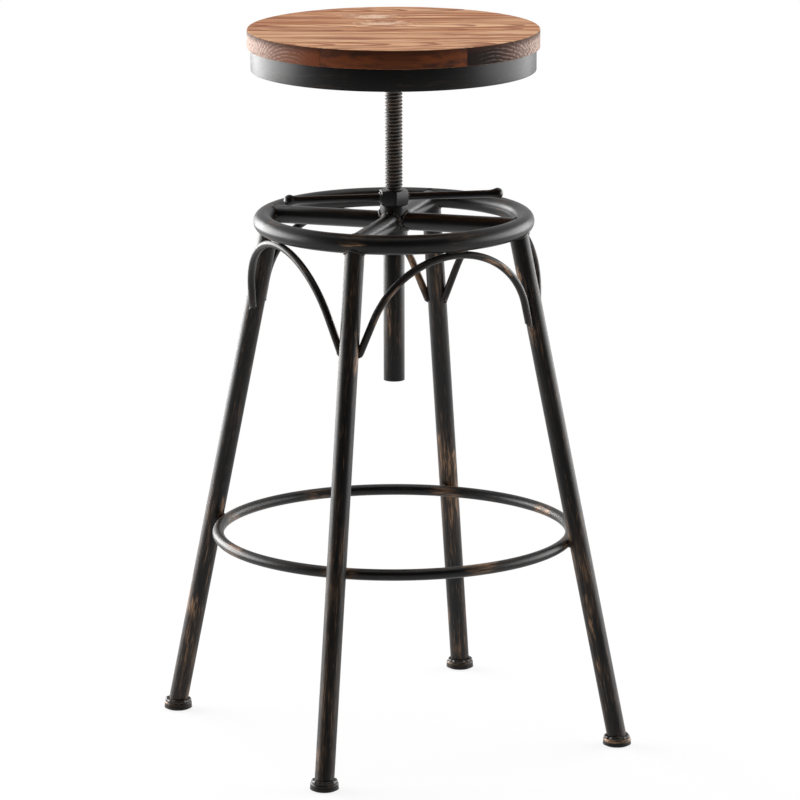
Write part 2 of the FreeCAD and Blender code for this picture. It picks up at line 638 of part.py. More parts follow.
def make_seat_screws():
    """The wood screws that hold the seat on the bars, as one group."""
    body = new_body("seat_screws", "Sizes.seat_angle")
    head = upright(half("screw_head_diameter"), f"({BAR_UNDERSIDE} - Sizes.screw_head_height)", BAR_UNDERSIDE)
    shank = upright(half("screw_diameter"), BAR_UNDERSIDE, SCREW_END)
    for index, place in enumerate(screw_places()):
        primitive(body, "AdditiveCylinder", f"head_{index}", {**head, **place.formulas})
        primitive(body, "AdditiveCylinder", f"shank_{index}", {**shank, **place.formulas})
    return body


def make_spindle():
    """The height screw, drilled below for the bolt that holds its guide bush."""
    body = new_body("spindle", "Sizes.seat_angle")
    primitive(body, "AdditiveCylinder", "rod", upright(SPINDLE_RADIUS, SPINDLE_BOTTOM, BAR_UNDERSIDE))
    primitive(body, "SubtractiveCylinder", "bolt_hole",
              upright(half("bolt_diameter"), SPINDLE_BOTTOM, BOLT_END))
    return body


def make_spindle_flange():
    """The collar that spreads the spindle's load on the bars."""
    body = new_body("spindle_flange", "Sizes.seat_angle")
    tube(body, half("flange_diameter"), SPINDLE_RADIUS,
         f"({BAR_UNDERSIDE} - Sizes.flange_thickness)", BAR_UNDERSIDE)
    return body


def make_stop_washer():
    """The washer that keeps the guide bush on its bolt."""
    body = new_body("stop_washer", "Sizes.seat_angle")
    tube(body, half("washer_diameter"), f"{half('bolt_diameter')} + Sizes.bush_clearance",
         WASHER_BOTTOM, WASHER_TOP)
    return body


def make_end_bolt():
    """The bolt in the spindle's lower end."""
    body = new_body("end_bolt", "Sizes.seat_angle")
    head_bottom = f"({WASHER_BOTTOM} - Sizes.bolt_head_height)"
    hexagon_pad(body, "Sizes.bolt_across", head_bottom, "Sizes.bolt_head_height")
    primitive(body, "AdditiveCylinder", "shank", upright(half("bolt_diameter"), WASHER_BOTTOM, BOLT_END))
    return body


def make_seat():
    """The seat with its spindle, which turn and rise together."""
    parts = [make_board(number) for number in range(SEAT_BOARDS)]
    parts.append(make_seat_band())
    parts.append(make_cross_bar("cross_bar_long", "Sizes.seat_angle + 90", True))
    parts.append(make_cross_bar("cross_bar_right", "Sizes.seat_angle", False))
    parts.append(make_cross_bar("cross_bar_left", "Sizes.seat_angle + 180", False))
    parts += [make_seat_screws(), make_spindle(), make_spindle_flange(), make_stop_washer(), make_end_bolt()]
    return parts


sub_parts = make_base() + make_lock() + [make_guide_bush()] + make_seat()
doc.recompute()

for item in doc.Objects:
    if "Invalid" in item.State or "Error" in item.State:
        raise RuntimeError(f"{item.Name} failed: {item.State}")

os.makedirs("parts", exist_ok=True)
for part in sub_parts:
    shape = part.Shape
    if shape.isNull() or not shape.isValid():
        raise RuntimeError(f"{part.Label} has no valid shape")
    shape.exportStep(f"parts/{part.Label}.step")
    print(part.Label, len(shape.Solids), round(shape.Volume))
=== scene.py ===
"""Bar stool with a round board seat on a height screw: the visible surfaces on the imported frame."""

import json
import math

import bpy
import numpy as np
from bpy.props import FloatProperty, FloatVectorProperty, PointerProperty
from mathutils import Matrix, Vector


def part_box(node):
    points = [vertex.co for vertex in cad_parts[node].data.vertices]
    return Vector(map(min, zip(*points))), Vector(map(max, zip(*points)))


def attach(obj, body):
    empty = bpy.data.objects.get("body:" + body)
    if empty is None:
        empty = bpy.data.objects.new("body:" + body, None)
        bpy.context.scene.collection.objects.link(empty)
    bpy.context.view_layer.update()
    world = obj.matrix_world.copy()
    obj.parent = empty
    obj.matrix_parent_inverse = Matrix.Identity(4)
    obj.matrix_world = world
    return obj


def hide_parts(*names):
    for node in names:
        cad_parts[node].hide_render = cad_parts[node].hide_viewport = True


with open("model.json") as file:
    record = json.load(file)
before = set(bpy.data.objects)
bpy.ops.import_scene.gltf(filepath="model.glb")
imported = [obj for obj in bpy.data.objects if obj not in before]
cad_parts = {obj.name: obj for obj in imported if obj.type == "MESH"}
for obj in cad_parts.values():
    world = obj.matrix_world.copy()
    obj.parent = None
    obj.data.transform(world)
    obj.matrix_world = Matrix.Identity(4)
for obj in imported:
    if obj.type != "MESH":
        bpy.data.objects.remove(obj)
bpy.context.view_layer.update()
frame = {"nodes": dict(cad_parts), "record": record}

bl_info = {
    "name": "Bar stool with a height screw",
    "version": (1, 0, 0),
    "blender": (4, 5, 0),
    "location": "View3D > Sidebar > Stool",
    "description": "Builds the visible surfaces and finishes of a bar stool with a screw-height seat",
    "category": "Add Mesh",
}


def corners(node):
    """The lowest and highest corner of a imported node, as two arrays."""
    low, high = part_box(node)
    return np.array(low), np.array(high)


def ring_sizes(node):
    """Height, centre-line radius and tube radius of a level ring of tube, from its packed box."""
    low, high = corners(node)
    tube = (high[2] - low[2]) / 2
    return (high[2] + low[2]) / 2, high[0] - tube, tube


def shaft_sizes(node):
    """Radius, foot and top of an upright round node on the stool's axis, from its packed box."""
    low, high = corners(node)
    return high[0], low[2], high[2]


def unit(vectors):
    """Vectors brought to length one."""
    return vectors / np.linalg.norm(vectors, axis=-1, keepdims=True)


def compass(turn):
    """Level unit vectors that point out at an angle and a quarter turn further round."""
    cosine, sine = math.cos(turn), math.sin(turn)
    return np.array([cosine, sine, 0.0]), np.array([-sine, cosine, 0.0])


def shade(red, green, blue):
    """A display colour of three numbers to 255, turned into the linear values that shaders use."""
    level = np.array([red, green, blue]) / 255
    return tuple(np.where(level <= 0.04045, level / 12.92, ((level + 0.055) / 1.055) ** 2.4))


UP = np.array([0.0, 0.0, 1.0])
LEG_PLACES = ("back_right", "back_left", "front_left", "front_right")
ARCH_SIDES = {"right": 0.0, "back": 90.0, "left": 180.0, "front": 270.0}
FLOOR_POINTS = {mount["name"]: np.array(mount["pos_m"]) for mount in frame["record"]["mounts"]}
FEET = {place: FLOOR_POINTS[f"floor_{place}"] * (1, 1, 0) for place in LEG_PLACES}
OUTWARD = {place: unit(foot) for place, foot in FEET.items()}
BOARD_NAMES = tuple(f"seat_board_{number}" for number in range(1, 6))
# Where each board's pith lies, aside from its middle and up from its underside
PITHS = ((0.03, -0.03), (-0.012, -0.034), (0.02, -0.026), (-0.03, -0.02), (0.01, -0.04))
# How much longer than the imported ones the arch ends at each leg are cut
ARCH_TRIM = {"back_right": 0.011, "back_left": -0.01, "front_left": 0.006, "front_right": -0.009}
# How steeply an arch's tip is cut across its width
ARCH_SLANT = 1.2
# Steps of one thread turn: how far up each lies, and how deep, as shares of the pitch and the depth
THREAD_RISE = np.array([0.0, 0.33, 0.37, 0.47, 0.51, 0.83, 0.87, 0.97])
THREAD_SUNK = np.array([1.0, 1.0, 0.93, 0.07, 0.0, 0.0, 0.07, 0.93])
# Gap between the spindle and a bore, and radius of the flat middle of a turned piece's end
FIT = 0.0002
POLE = 0.004
# Steps in each eased edge of a flat bar's profile
EDGE_STEPS = 5
# How much longer than wide the grain of steel is drawn
STREAK = 16.0
# Spacing of the wood's growth rings, and half length and half width of a knot's patch
RING_SPACING = 0.0043
KNOT_LENGTH, KNOT_WIDTH = 0.03, 0.019
# Width, height and place of each lamp, seen from the camera's stand, and the point they light
LAMPS = {
    "left_lamp": (3.3, 1.5, (-2.33, 1.2, 0.75)),
    "right_lamp": (3.7, 1.5, (2.5, 0.8, 0.75)),
    "top_lamp": (2.2, 2.2, (0.0, 0.2, 3.0)),
}
LIT_POINT = (0.0, 0.0, 0.45)

RING_HEIGHT, RING_RADIUS, RING_TUBE = ring_sizes("top_ring")
FOOT_RING_HEIGHT, FOOT_RING_RADIUS, FOOT_RING_TUBE = ring_sizes("foot_ring")
HUB_RADIUS, HUB_FOOT, HUB_TOP = shaft_sizes("hub")
GUIDE_RADIUS, GUIDE_FOOT, GUIDE_TOP = shaft_sizes("guide_tube")
SPINDLE_RADIUS, SPINDLE_FOOT, SPINDLE_TOP = shaft_sizes("spindle")
FLANGE_RADIUS, FLANGE_FOOT, FLANGE_TOP = shaft_sizes("spindle_flange")
BAND_RADIUS, BAND_FOOT, BAND_TOP = shaft_sizes("seat_band")
NUT_FOOT, NUT_TOP = (corner[2] for corner in corners("lock_nut"))
CAP_FOOT, CAP_TOP = (corner[2] for corner in corners("foot_cap_back_right"))
CAP_RADIUS = np.ptp(corners("foot_cap_back_right"), axis=0)[0] / 2
GLIDE_TOP = corners("foot_glide_back_right")[1][2]
GLIDE_RADIUS = np.ptp(corners("foot_glide_back_right"), axis=0)[0] / 2
SEAT_RADIUS = max(corners(name)[1][0] for name in BOARD_NAMES)
SEAT_FOOT, SEAT_TOP = (corner[2] for corner in corners("seat_board_3"))


# Properties: the sizes and colours that a user would change


def length(name, description, default):
    """A property for a length."""
    return FloatProperty(name=name, description=description, default=default, unit="LENGTH")


def angle(name, description, degrees):
    """A property for an angle, given in degrees."""
    return FloatProperty(name=name, description=description, default=math.radians(degrees), subtype="ANGLE")


def power(name, description, watts):
    """A property for a lamp's power."""
    return FloatProperty(name=name, description=description, default=watts, unit="POWER")


def focal(name, description, millimetres):
    """A property for a lens's focal length."""
    return FloatProperty(name=name, description=description, default=millimetres, unit="CAMERA")


def fraction(name, description, default):
    """A property for a share of full brightness."""
    return FloatProperty(
        name=name, description=description, default=default, subtype="FACTOR", min=0, max=1)


def spot(name, description, along, across):
    """A property for a place on the seat, along and across the boards."""
    return FloatVectorProperty(
        name=name, description=description, default=(along, across), size=2, subtype="TRANSLATION",
        unit="LENGTH")


def colour(name, description, *levels):
    """A property for a colour, given as three display levels to 255."""
    return FloatVectorProperty(
        name=name, description=description, default=shade(*levels), subtype="COLOR", min=0, max=1)


class SeatSizes(bpy.types.PropertyGroup):
    """Sizes of the boards, the band and the screws under the seat."""

    turn: angle("Board direction", "Angle of the boards from the X axis", -27.8)
    board_width: length("Board width", "Width of one whole board", 0.07725)
    front_depth: length("Front board", "Depth of the front board's slice", 0.021)
    rim_ease: length("Rim easing", "Rounding of the upper rim", 0.0014)
    joint_groove: length("Joint groove", "Half width of the fine line between two boards", 0.00025)
    band_wall: length("Band wall", "Thickness of the steel band", 0.003)
    band_ease: length("Band edge", "Rounding of the band's edges", 0.0006)
    knot_near: spot("Near knot", "Place of the nearer knot along and across the boards", -0.012, 0.035)
    knot_far: spot("Far knot", "Place of the farther knot along and across the boards", -0.022, 0.086)
    screw_head: length("Screw head", "Diameter of a screw head", 0.009)
    screw_inner: length("Inner screws", "Circle radius of the inner screws", 0.076)
    screw_outer: length("Outer screws", "Circle radius of the outer screws", 0.128)


class ScrewSizes(bpy.types.PropertyGroup):
    """Sizes of the height screw and its lock nut."""

    pitch: length("Thread pitch", "Rise of the thread in one turn", 0.004)
    depth: length("Thread depth", "Depth of the thread's groove", 0.0017)
    nut_across: length("Nut", "Width across the nut's flats", 0.03)
    nut_turn: angle("Nut direction", "Angle of the arms from the X axis", -17.8)
    arm_radius: length("Arm radius", "Radius of an arm's rod", 0.00425)
    arm_reach: length("Arm reach", "Distance from the axis to the ball's centre", 0.1195)
    ball_radius: length("Ball radius", "Radius of the ball at an arm's end", 0.0065)
    neck: length("Neck", "Length over which the rod swells to the ball", 0.011)


class BaseSizes(bpy.types.PropertyGroup):
    """Sizes of the welded base."""

    leg_radius: length("Leg radius", "Radius of a leg's tube", 0.011)
    leg_inset: length("Leg inset", "How far a leg's top sits inside the ring's centre line", 0.0033)
    leg_drop: length("Leg end", "How far below the ring's centre a leg ends", 0.0045)
    spoke_radius: length("Spoke radius", "Radius of a spoke's tube", 0.01025)
    arch_radius: length("Arch rod", "Radius of an arch's rod", 0.00425)
    arch_bend: length("Arch bend", "Radius of an arch's bend", 0.10105)
    arch_sweep: angle("Arch sweep", "Angle from an arch's top to its straight tail", 71.7)
    arch_tail: length("Arch tail", "Length of an arch's straight end", 0.0364)
    arch_lean: angle("Arch lean", "Lean of an arch's plane towards the axis", 12.71)
    weld_bite: length("Weld bite", "How far welded pieces press into one another", 0.0003)
    guide_wall: length("Guide wall", "Wall of the guide tube", 0.0012)
    bead_radius: length("Weld bead", "Radius of a weld bead", 0.0019)


class StoolFinish(bpy.types.PropertyGroup):
    """Colours of the stool's finishes."""

    wood_pale: colour("Pale wood", "Early wood and worn places", 232, 185, 142)
    wood_honey: colour("Honey wood", "Main colour of the seat", 188, 118, 60)
    wood_brown: colour("Brown wood", "Late wood lines on the seat", 132, 66, 26)
    wood_knot: colour("Knot", "Pale wood round a knot", 230, 196, 168)
    rim_brown: colour("Rim", "Stained long grain on the rim", 112, 54, 18)
    rim_dark: colour("Dark rim", "Darkest stain on the rim", 56, 27, 13)
    rim_end: colour("End grain", "Stained end grain on the rim", 124, 93, 80)
    # Dark end grain: painted shade on the ends that face right, and dark pores on every end
    rim_stain: colour("Stained ends", "End grain that took most stain", 26, 14, 9)
    # Painted sheen: pale colour laid on the end grain where the side lamps graze
    rim_chalk: colour("Chalky end grain", "Pale open grain at the boards' ends", 212, 190, 178)
    steel_black: colour("Black steel", "Blackened steel", 10, 9, 9)
    steel_brown: colour("Brown steel", "Rubbed brown streaks", 60, 47, 37)
    steel_bronze: colour("Bronze rub", "Places rubbed bright", 158, 124, 96)
    steel_bare: colour("Bare steel", "Plated fixings and thread crests", 172, 170, 164)
    steel_weld: colour("Weld metal", "Weld beads and scuffs", 96, 78, 61)
    plastic: colour("Plastic", "Glides and bush", 26, 25, 24)


class StageSettings(bpy.types.PropertyGroup):
    """Camera, floor and lamps."""

    distance: length("Distance", "Level distance from the axis to the camera", 5.893)
    height: length("Height", "Height of the camera", 1.7076)
    stand: angle("Stand", "Turn of the camera's place round the axis, from straight in front", -27.83)
    heading: angle("Heading", "Direction the camera looks, from the Y axis", -27.894)
    pitch: angle("Pitch", "Tilt of the camera", -12.635)
    roll: angle("Roll", "Roll of the camera", -0.101)
    lens: focal("Lens", "Focal length in millimetres on a 36 mm sensor", 238.1)
    floor_radius: length("Floor", "Radius of the round floor", 14.0)
    left_lamp: power("Left lamp", "Power of the soft lamp on the left", 174.0)
    right_lamp: power("Right lamp", "Power of the soft lamp on the right", 102.0)
    top_lamp: power("Top lamp", "Power of the soft lamp overhead", 36.0)
    near_side: fraction("Near side", "Brightness of the room on the camera's side", 0.06)
    far_side: fraction("Far side", "Brightness of the room behind the stool", 0.7)


# Shader maths


class Value:
    """A number in a shader: arithmetic on it adds Math nodes to its shader."""

    def __init__(self, shader, socket):
        self.shader = shader
        self.socket = socket

    def work(self, operation, first, second=0.0):
        """One Math node on two numbers."""
        return self.shader.node("ShaderNodeMath", {"operation": operation}, {0: first, 1: second})

    def __add__(self, other):
        return self.work("ADD", self, other)

    __radd__ = __add__

    def __mul__(self, other):
        return self.work("MULTIPLY", self, other)

    __rmul__ = __mul__

    def __sub__(self, other):
        return self.work("SUBTRACT", self, other)

    def __rsub__(self, other):
        return self.work("SUBTRACT", other, self)

    def __truediv__(self, other):
        return self.work("DIVIDE", self, other)

    def __abs__(self):
        return self.work("ABSOLUTE", self)

    def larger(self, other):
        """The larger of two numbers."""
        return self.work("MAXIMUM", self, other)

    def ease(self, start, end):
        """A smooth step from 0 at start to 1 at end."""
        return self.shader.node(
            "ShaderNodeMapRange", {"interpolation_type": "SMOOTHSTEP"}, {0: self, 1: start, 2: end})


class Shader:
    """One material's or world's nodes."""

    def __init__(self, owner):
        self.owner = owner
        owner.use_nodes = True
        self.tree = owner.node_tree
        self.tree.nodes.clear()

    def node(self, kind, settings=None, inputs=None, output=0):
        """Adds a node of this kind, sets it, fills or links its sockets, and returns one output."""
        made = self.tree.nodes.new(kind)
        for key, setting in (settings or {}).items():
            setattr(made, key, setting)
        for key, given in (inputs or {}).items():
            if isinstance(given, Value):
                self.tree.links.new(given.socket, made.inputs[key])
            else:
                made.inputs[key].default_value = given
        return Value(self, made.outputs[output]) if made.outputs else None

    def noise(self, place, scale, seed=0.0, detail=2.0, rough=0.5):
        """Cloudy noise about one half, in four dimensions of which the last is the seed."""
        inputs = {"Vector": place, "W": seed, "Scale": scale, "Detail": detail, "Roughness": rough}
        return self.node("ShaderNodeTexNoise", {"noise_dimensions": "4D"}, inputs)

    def blend(self, factor, first, second):
        """Mixes two colours, each one of the shader's or a property's."""
        first, second = (tone if isinstance(tone, Value) else (*tone, 1.0) for tone in (first, second))
        return self.node("ShaderNodeMix", {"data_type": "RGBA"}, {0: factor, 6: first, 7: second}, 2)

    def vector(self, operation, inputs, output=0):
        """One Vector Math node."""
        return self.node("ShaderNodeVectorMath", {"operation": operation}, inputs, output)

    def stretch(self, vector, factors):
        """Multiplies a vector by three numbers."""
        return self.vector("MULTIPLY", {0: vector, 1: factors})

    def dot(self, vector, direction):
        """How far a vector points in a direction."""
        return self.vector("DOT_PRODUCT", {0: vector, 1: tuple(direction)}, 1)

    def join(self, first, second, third):
        """The vector with these three parts."""
        return self.node("ShaderNodeCombineXYZ", {}, {0: first, 1: second, 2: third})

    def parts(self, vector):
        """The three parts of a vector."""
        return [self.node("ShaderNodeSeparateXYZ", {}, {0: vector}, part) for part in range(3)]

    def length(self, vector):
        """Length of a vector."""
        return self.vector("LENGTH", {0: vector}, 1)

    def grain(self):
        """The piece's own grain: three lengths and a fourth one or seed."""
        kept = {"attribute_name": "grain"}
        vector = self.node("ShaderNodeAttribute", kept, {}, "Vector")
        return vector, self.node("ShaderNodeAttribute", kept, {}, "Alpha")

    def place(self, output="Object"):
        """The piece's own coordinates, or its normal in them."""
        return self.node("ShaderNodeTexCoord", {}, {}, output)

    def height(self):
        """Height of a point above the floor."""
        return self.parts(self.place())[2]

    def bump(self, height, distance):
        """A normal raised by a height that goes up to a distance."""
        return self.node("ShaderNodeBump", {}, {"Height": height, "Distance": distance})

    def end(self, surface, kind="ShaderNodeOutputMaterial"):
        """Links a shader to the output."""
        self.node(kind, {}, {"Surface": surface})
        return self.owner

    def principled(self, inputs):
        """Ends the material in a Principled shader with these sockets."""
        return self.end(self.node("ShaderNodeBsdfPrincipled", {}, inputs))


def material(make):
    """The material of a finish, made the first time it is asked for."""
    name = f"{make.__name__}_finish"
    kept = bpy.data.materials.get(name)
    return kept or make(Shader(bpy.data.materials.new(name)), bpy.context.scene.stool_finish)


# Finishes


def knot_reach(shader, seat, centre):
    """Distance from a knot in the seat, where 1 is the oval edge of its patch."""
    ahead, aside = compass(seat.turn)
    place = shader.place()
    along = (shader.dot(place, ahead) - centre[0]) / KNOT_LENGTH
    across = (shader.dot(place, aside) - centre[1]) / KNOT_WIDTH
    return shader.length(shader.join(along, across, 0.0))


def seat_wood(shader, finish):
    """Stained softwood: growth rings about a pith line along each board, so faces and ends follow one solid.

    Ring number is the distance from the pith over the ring spacing. The pith leans along the board, slow
    noise bends the rings, and a knot lifts them into ovals. Late wood darkens the last part of each ring, and
    drawn-out noise gives pale and brown streaks. The rim's stain is darker than the top, darkest under its
    upper edge. On the end grain, painted shade darkens the ends that face right, and a painted sheen lies
    pale along the late wood and is strongest at the boards' far ends, where the side lamps graze. The eased
    edge is worn pale.
    """
    seat = bpy.context.scene.stool_seat
    ahead, aside = compass(seat.turn)
    grain, board = shader.grain()
    along, across, depth = shader.parts(grain)
    slow = shader.stretch(grain, (0.12, 0.4, 0.4))
    wander = shader.noise(slow, 22.0, board)
    cloud = shader.noise(slow, 46.0, board + 3.0)
    bend = shader.noise(shader.stretch(grain, (0.16, 0.6, 0.6)), 30.0, board + 9.0, 1.0)
    fleck = shader.noise(shader.stretch(grain, (0.4, 1.0, 1.0)), 90.0, board + 12.0, 3.0)
    pore = shader.noise(grain, 1100.0, board)
    speck = shader.noise(shader.place(), 330.0, 0.0, 3.0)

    near, far = (knot_reach(shader, seat, centre) for centre in (seat.knot_near, seat.knot_far))
    apart = near.work("MINIMUM", near, far)
    swell = 1 - apart.ease(0.2, 1.5)
    ragged = apart + (fleck - 0.5) * 2.8 + (bend - 0.5) * 0.8
    knot = 1 - ragged.ease(0.35, 0.95)
    bark = ragged.ease(0.55, 0.8) * (1 - ragged.ease(0.8, 1.15))

    sway = across + (bend - 0.5) * 0.022
    flow = shader.join(along * 0.026, sway, depth + swell * 0.012)
    streak = shader.noise(flow, 165.0, board + 6.0, 6.0, 0.62)
    fibre = shader.noise(flow, 380.0, board, 4.0)
    lean = depth + along * 0.07 + (cloud - 0.5) * 0.016
    reach = shader.length(shader.join(0.0, sway + (wander - 0.5) * 0.055, lean)) + swell * 0.014
    number = reach / RING_SPACING + (streak - 0.5) * 0.5
    ring = number.work("FRACT", number)
    late = ring.ease(0.45, 0.9) * (1 - ring.ease(0.93, 1.0))

    normal = shader.place("Normal")
    upward = shader.dot(normal, UP)
    rightward = shader.dot(normal, ahead)
    endward = abs(rightward)
    side = 1 - abs(upward).ease(0.5, 0.97)
    worn = upward.ease(0.5, 0.7) * (1 - upward.ease(0.8, 0.97))
    beyond = shader.dot(shader.place(), aside) + SEAT_RADIUS
    behind = beyond.ease(seat.front_depth - 0.0004, seat.front_depth + 0.0004)
    ends = endward.ease(0.38, 0.47) * behind * side
    edge = shader.height().ease(SEAT_TOP - 0.009, SEAT_TOP - 0.0015)

    top = shader.blend(streak.ease(0.45, 0.57), finish.wood_honey, finish.wood_pale)
    lines = (
        (1 - streak).ease(0.51, 0.62) * 0.8, late * (0.4 + cloud * 0.8), fibre.ease(0.5, 0.62) * 0.7,
        bark * 0.45)
    for line in lines:
        top = shader.blend(line, top, finish.wood_brown)
    patch = knot * (1 - late * 0.5) * (0.5 + speck.ease(0.36, 0.56) * 0.5)
    top = shader.blend(patch, top, finish.wood_knot)
    rim = shader.blend((streak * 0.55 + cloud * 0.45).ease(0.42, 0.62), finish.rim_brown, finish.rim_dark)
    # Painted shade: the end grain that faces right is darkened, less so near its silhouette; pores darken
    # every end a little
    right_end_shade = rightward.ease(0.2, 0.5) * (1 - rightward.ease(0.55, 0.97) * 0.75)
    butt = shader.blend(endward.ease(0.5, 0.95), finish.rim_brown, finish.rim_end)
    butt = shader.blend(right_end_shade + pore * 0.25, butt, finish.rim_stain)
    # Painted sheen on the end grain: pale along the late wood and strongest at the boards' far ends, where
    # the side lamps graze
    end_sheen = late * (0.42 - right_end_shade * 0.04) + endward.ease(0.75, 1.0) * 0.5
    end_sheen = end_sheen * (speck * 0.6 + pore * 0.4).ease(0.38, 0.56)
    butt = shader.blend(end_sheen * endward.ease(0.5, 0.9), butt, finish.rim_chalk)
    tone = shader.blend(ends, rim, butt)
    tone = shader.blend(edge * (0.45 + fibre * 0.6), tone, finish.rim_dark)
    tone = shader.blend(side, top, tone)
    tone = shader.blend(worn * fibre * 0.5, tone, finish.wood_pale)
    return shader.principled({
        "Base Color": tone, "Roughness": 0.5 + late * 0.08 + (fibre - 0.5) * 0.25 + ends * 0.25,
        "Specular IOR Level": 0.16,
        "Normal": shader.bump(fibre * 0.5 + ring * 0.12 + pore * ends * 0.35, 0.0003)})


def worn_steel(shader, finish, rub, gloss, shine, extra=0.0):
    """Blackened steel: fine brown lengthwise scratches where patches are rubbed, bronze where most worn.

    Rub is the wear of the whole piece, and extra the wear that varies over it. Gloss is the roughness.
    """
    grain, seed = shader.grain()
    streak = shader.noise(grain, 330.0, seed, 3.0)
    scratch = shader.noise(grain, 1000.0, seed, 3.0)
    brush = shader.noise(grain, 2200.0, seed)
    broad = shader.noise(shader.place(), 9.0)
    patch = shader.noise(grain, 110.0, seed + 2.0, 3.0)
    chip = shader.noise(shader.stretch(grain, (1.0, 1.0, 4.0)), 42.0, seed + 5.0, 5.0)
    worn = (broad * 0.2 + patch * 0.25 + streak * 0.25 + scratch * 0.3 + extra + rub).ease(0.49, 0.67)
    rubbed = (broad * 0.35 + patch * 0.4 + streak * 0.25 + extra + rub).ease(0.595, 0.69)
    chipped = (chip + extra + rub).ease(0.635, 0.69)
    line = (streak * 0.4 + scratch * 0.6 + extra + rub).ease(0.58, 0.7) * 0.4
    bright = (rubbed.larger(chipped) * scratch.ease(0.42, 0.58)).larger(line)
    tone = shader.blend(worn, finish.steel_black, finish.steel_brown)
    tone = shader.blend(bright * (0.2 + brush), tone, finish.steel_bronze)
    return shader.principled({
        "Base Color": tone, "Metallic": bright * 0.45,
        "Roughness": gloss + (brush - 0.5) * 0.24 + (broad - 0.5) * 0.16, "Specular IOR Level": shine,
        "Normal": shader.bump(brush * 0.3 + scratch * 0.4 + streak * 0.3, 0.00006)})


def leg_steel(shader, finish):
    """Blackened tube of the legs, rubbed near the floor, at the foot ring and at the arches."""
    height = shader.height()
    foot_joint = 1 - abs(height - FOOT_RING_HEIGHT).ease(0.015, 0.085)
    arch_joint = 1 - abs(height - RING_HEIGHT + 0.1).ease(0.02, 0.11)
    low = 1 - height.ease(0.05, 0.45)
    return worn_steel(shader, finish, 0.0, 0.4, 0.24, low * 0.042 + foot_joint * 0.03 + arch_joint * 0.029)


def arch_steel(shader, finish):
    """Blackened bent rod of the arches, rubbed along its length and most at the low ends."""
    low = 1 - shader.height().ease(RING_HEIGHT - 0.13, RING_HEIGHT - 0.03)
    return worn_steel(shader, finish, 0.012, 0.38, 0.26, low * 0.03)


def ring_steel(shader, finish):
    """Blackened bent tube, rubbed by feet low down and at the eight joints round the stool."""
    east, north, height = shader.parts(shader.place())
    turns = east.work("ARCTAN2", north, east) * 4
    joint = abs(turns.work("COSINE", turns)).ease(0.86, 1.0)
    low = 1 - height.ease(FOOT_RING_HEIGHT, RING_HEIGHT)
    return worn_steel(shader, finish, -0.045, 0.38, 0.26, joint * (0.06 + low * 0.05) + low * 0.032)


def middle_steel(shader, finish):
    """Blackened steel of the hub, nut and arms, hardly rubbed."""
    return worn_steel(shader, finish, -0.22, 0.36, 0.4)


def spoke_steel(shader, finish):
    """Blackened steel of the spokes, hardly rubbed and glossier."""
    return worn_steel(shader, finish, -0.22, 0.36, 0.5)


def band_steel(shader, finish):
    """Blackened flat bar of the band, the bars and the flange under the seat."""
    return worn_steel(shader, finish, -0.03, 0.42, 0.2)


def foot_steel(shader, finish):
    """Blackened foot discs, rubbed brown round the upper edge."""
    upper = shader.height().ease(CAP_TOP - 0.0045, CAP_TOP - 0.0015)
    worn = shader.noise(shader.place(), 110.0, 0.0, 3.0).ease(0.4, 0.65)
    return worn_steel(shader, finish, 0.03, 0.38, 0.2, upper * worn * 0.09)


def weld_steel(shader, finish):
    """Weld metal under the black: lumpy and a little brighter."""
    place = shader.place()
    lump = shader.noise(place, 420.0)
    scale = shader.noise(place, 1500.0)
    bare = lump.ease(0.5, 0.7) * 0.7
    return shader.principled({
        "Base Color": shader.blend(bare, finish.steel_black, finish.steel_weld), "Metallic": bare,
        "Roughness": 0.31 + scale * 0.2, "Specular IOR Level": 0.4,
        "Normal": shader.bump(lump * 0.7 + scale * 0.3, 0.0003)})


def thread_steel(shader, finish):
    """Oiled screw steel: dark in the groove, rubbed bright on the crest."""
    place = shader.place()
    outward = shader.length(shader.stretch(place, (1.0, 1.0, 0.0)))
    stain = shader.noise(place, 90.0, 0.0, 3.0)
    mark = shader.noise(shader.stretch(place, (1.0, 1.0, 4.0)), 700.0)
    crest = outward.ease(SPINDLE_RADIUS - 0.0005, SPINDLE_RADIUS - 0.0001) * mark * 0.4
    tone = shader.blend(stain.ease(0.4, 0.65), finish.steel_black, finish.steel_brown)
    return shader.principled({
        "Base Color": shader.blend(crest, tone, finish.steel_bare), "Metallic": crest * 0.9,
        "Roughness": 0.3 + mark * 0.2, "Specular IOR Level": 0.2, "Normal": shader.bump(mark, 0.00008)})


def plated_steel(shader, finish):
    """Plated fixings: grey metal with fine turning marks and dull spots."""
    place = shader.place()
    mark = shader.noise(place, 1300.0)
    dull = shader.noise(place, 150.0, 0.0, 3.0)
    return shader.principled({
        "Base Color": shader.blend(dull.ease(0.45, 0.65) * 0.6, finish.steel_bare, finish.steel_brown),
        "Metallic": 1.0, "Roughness": 0.28 + dull * 0.25, "Normal": shader.bump(mark, 0.00005)})


def moulded_plastic(shader, finish):
    """Moulded plastic of the glides and the bush: fine grain, scuffed paler in spots."""
    place = shader.place()
    speck = shader.noise(place, 2200.0)
    scuff = shader.noise(place, 120.0, 0.0, 3.0)
    return shader.principled({
        "Base Color": shader.blend(scuff.ease(0.5, 0.7) * 0.3, finish.plastic, finish.steel_weld),
        "Roughness": 0.5 + scuff * 0.2, "Normal": shader.bump(speck, 0.00006)})


# Surfaces


def circle(sides):
    """Angles once round a circle."""
    return np.linspace(0.0, 2 * np.pi, sides, endpoint=False)


def layers(*parts):
    """Numbers or arrays spread to one shape and set side by side as the last axis."""
    return np.stack(np.broadcast_arrays(*parts), -1)


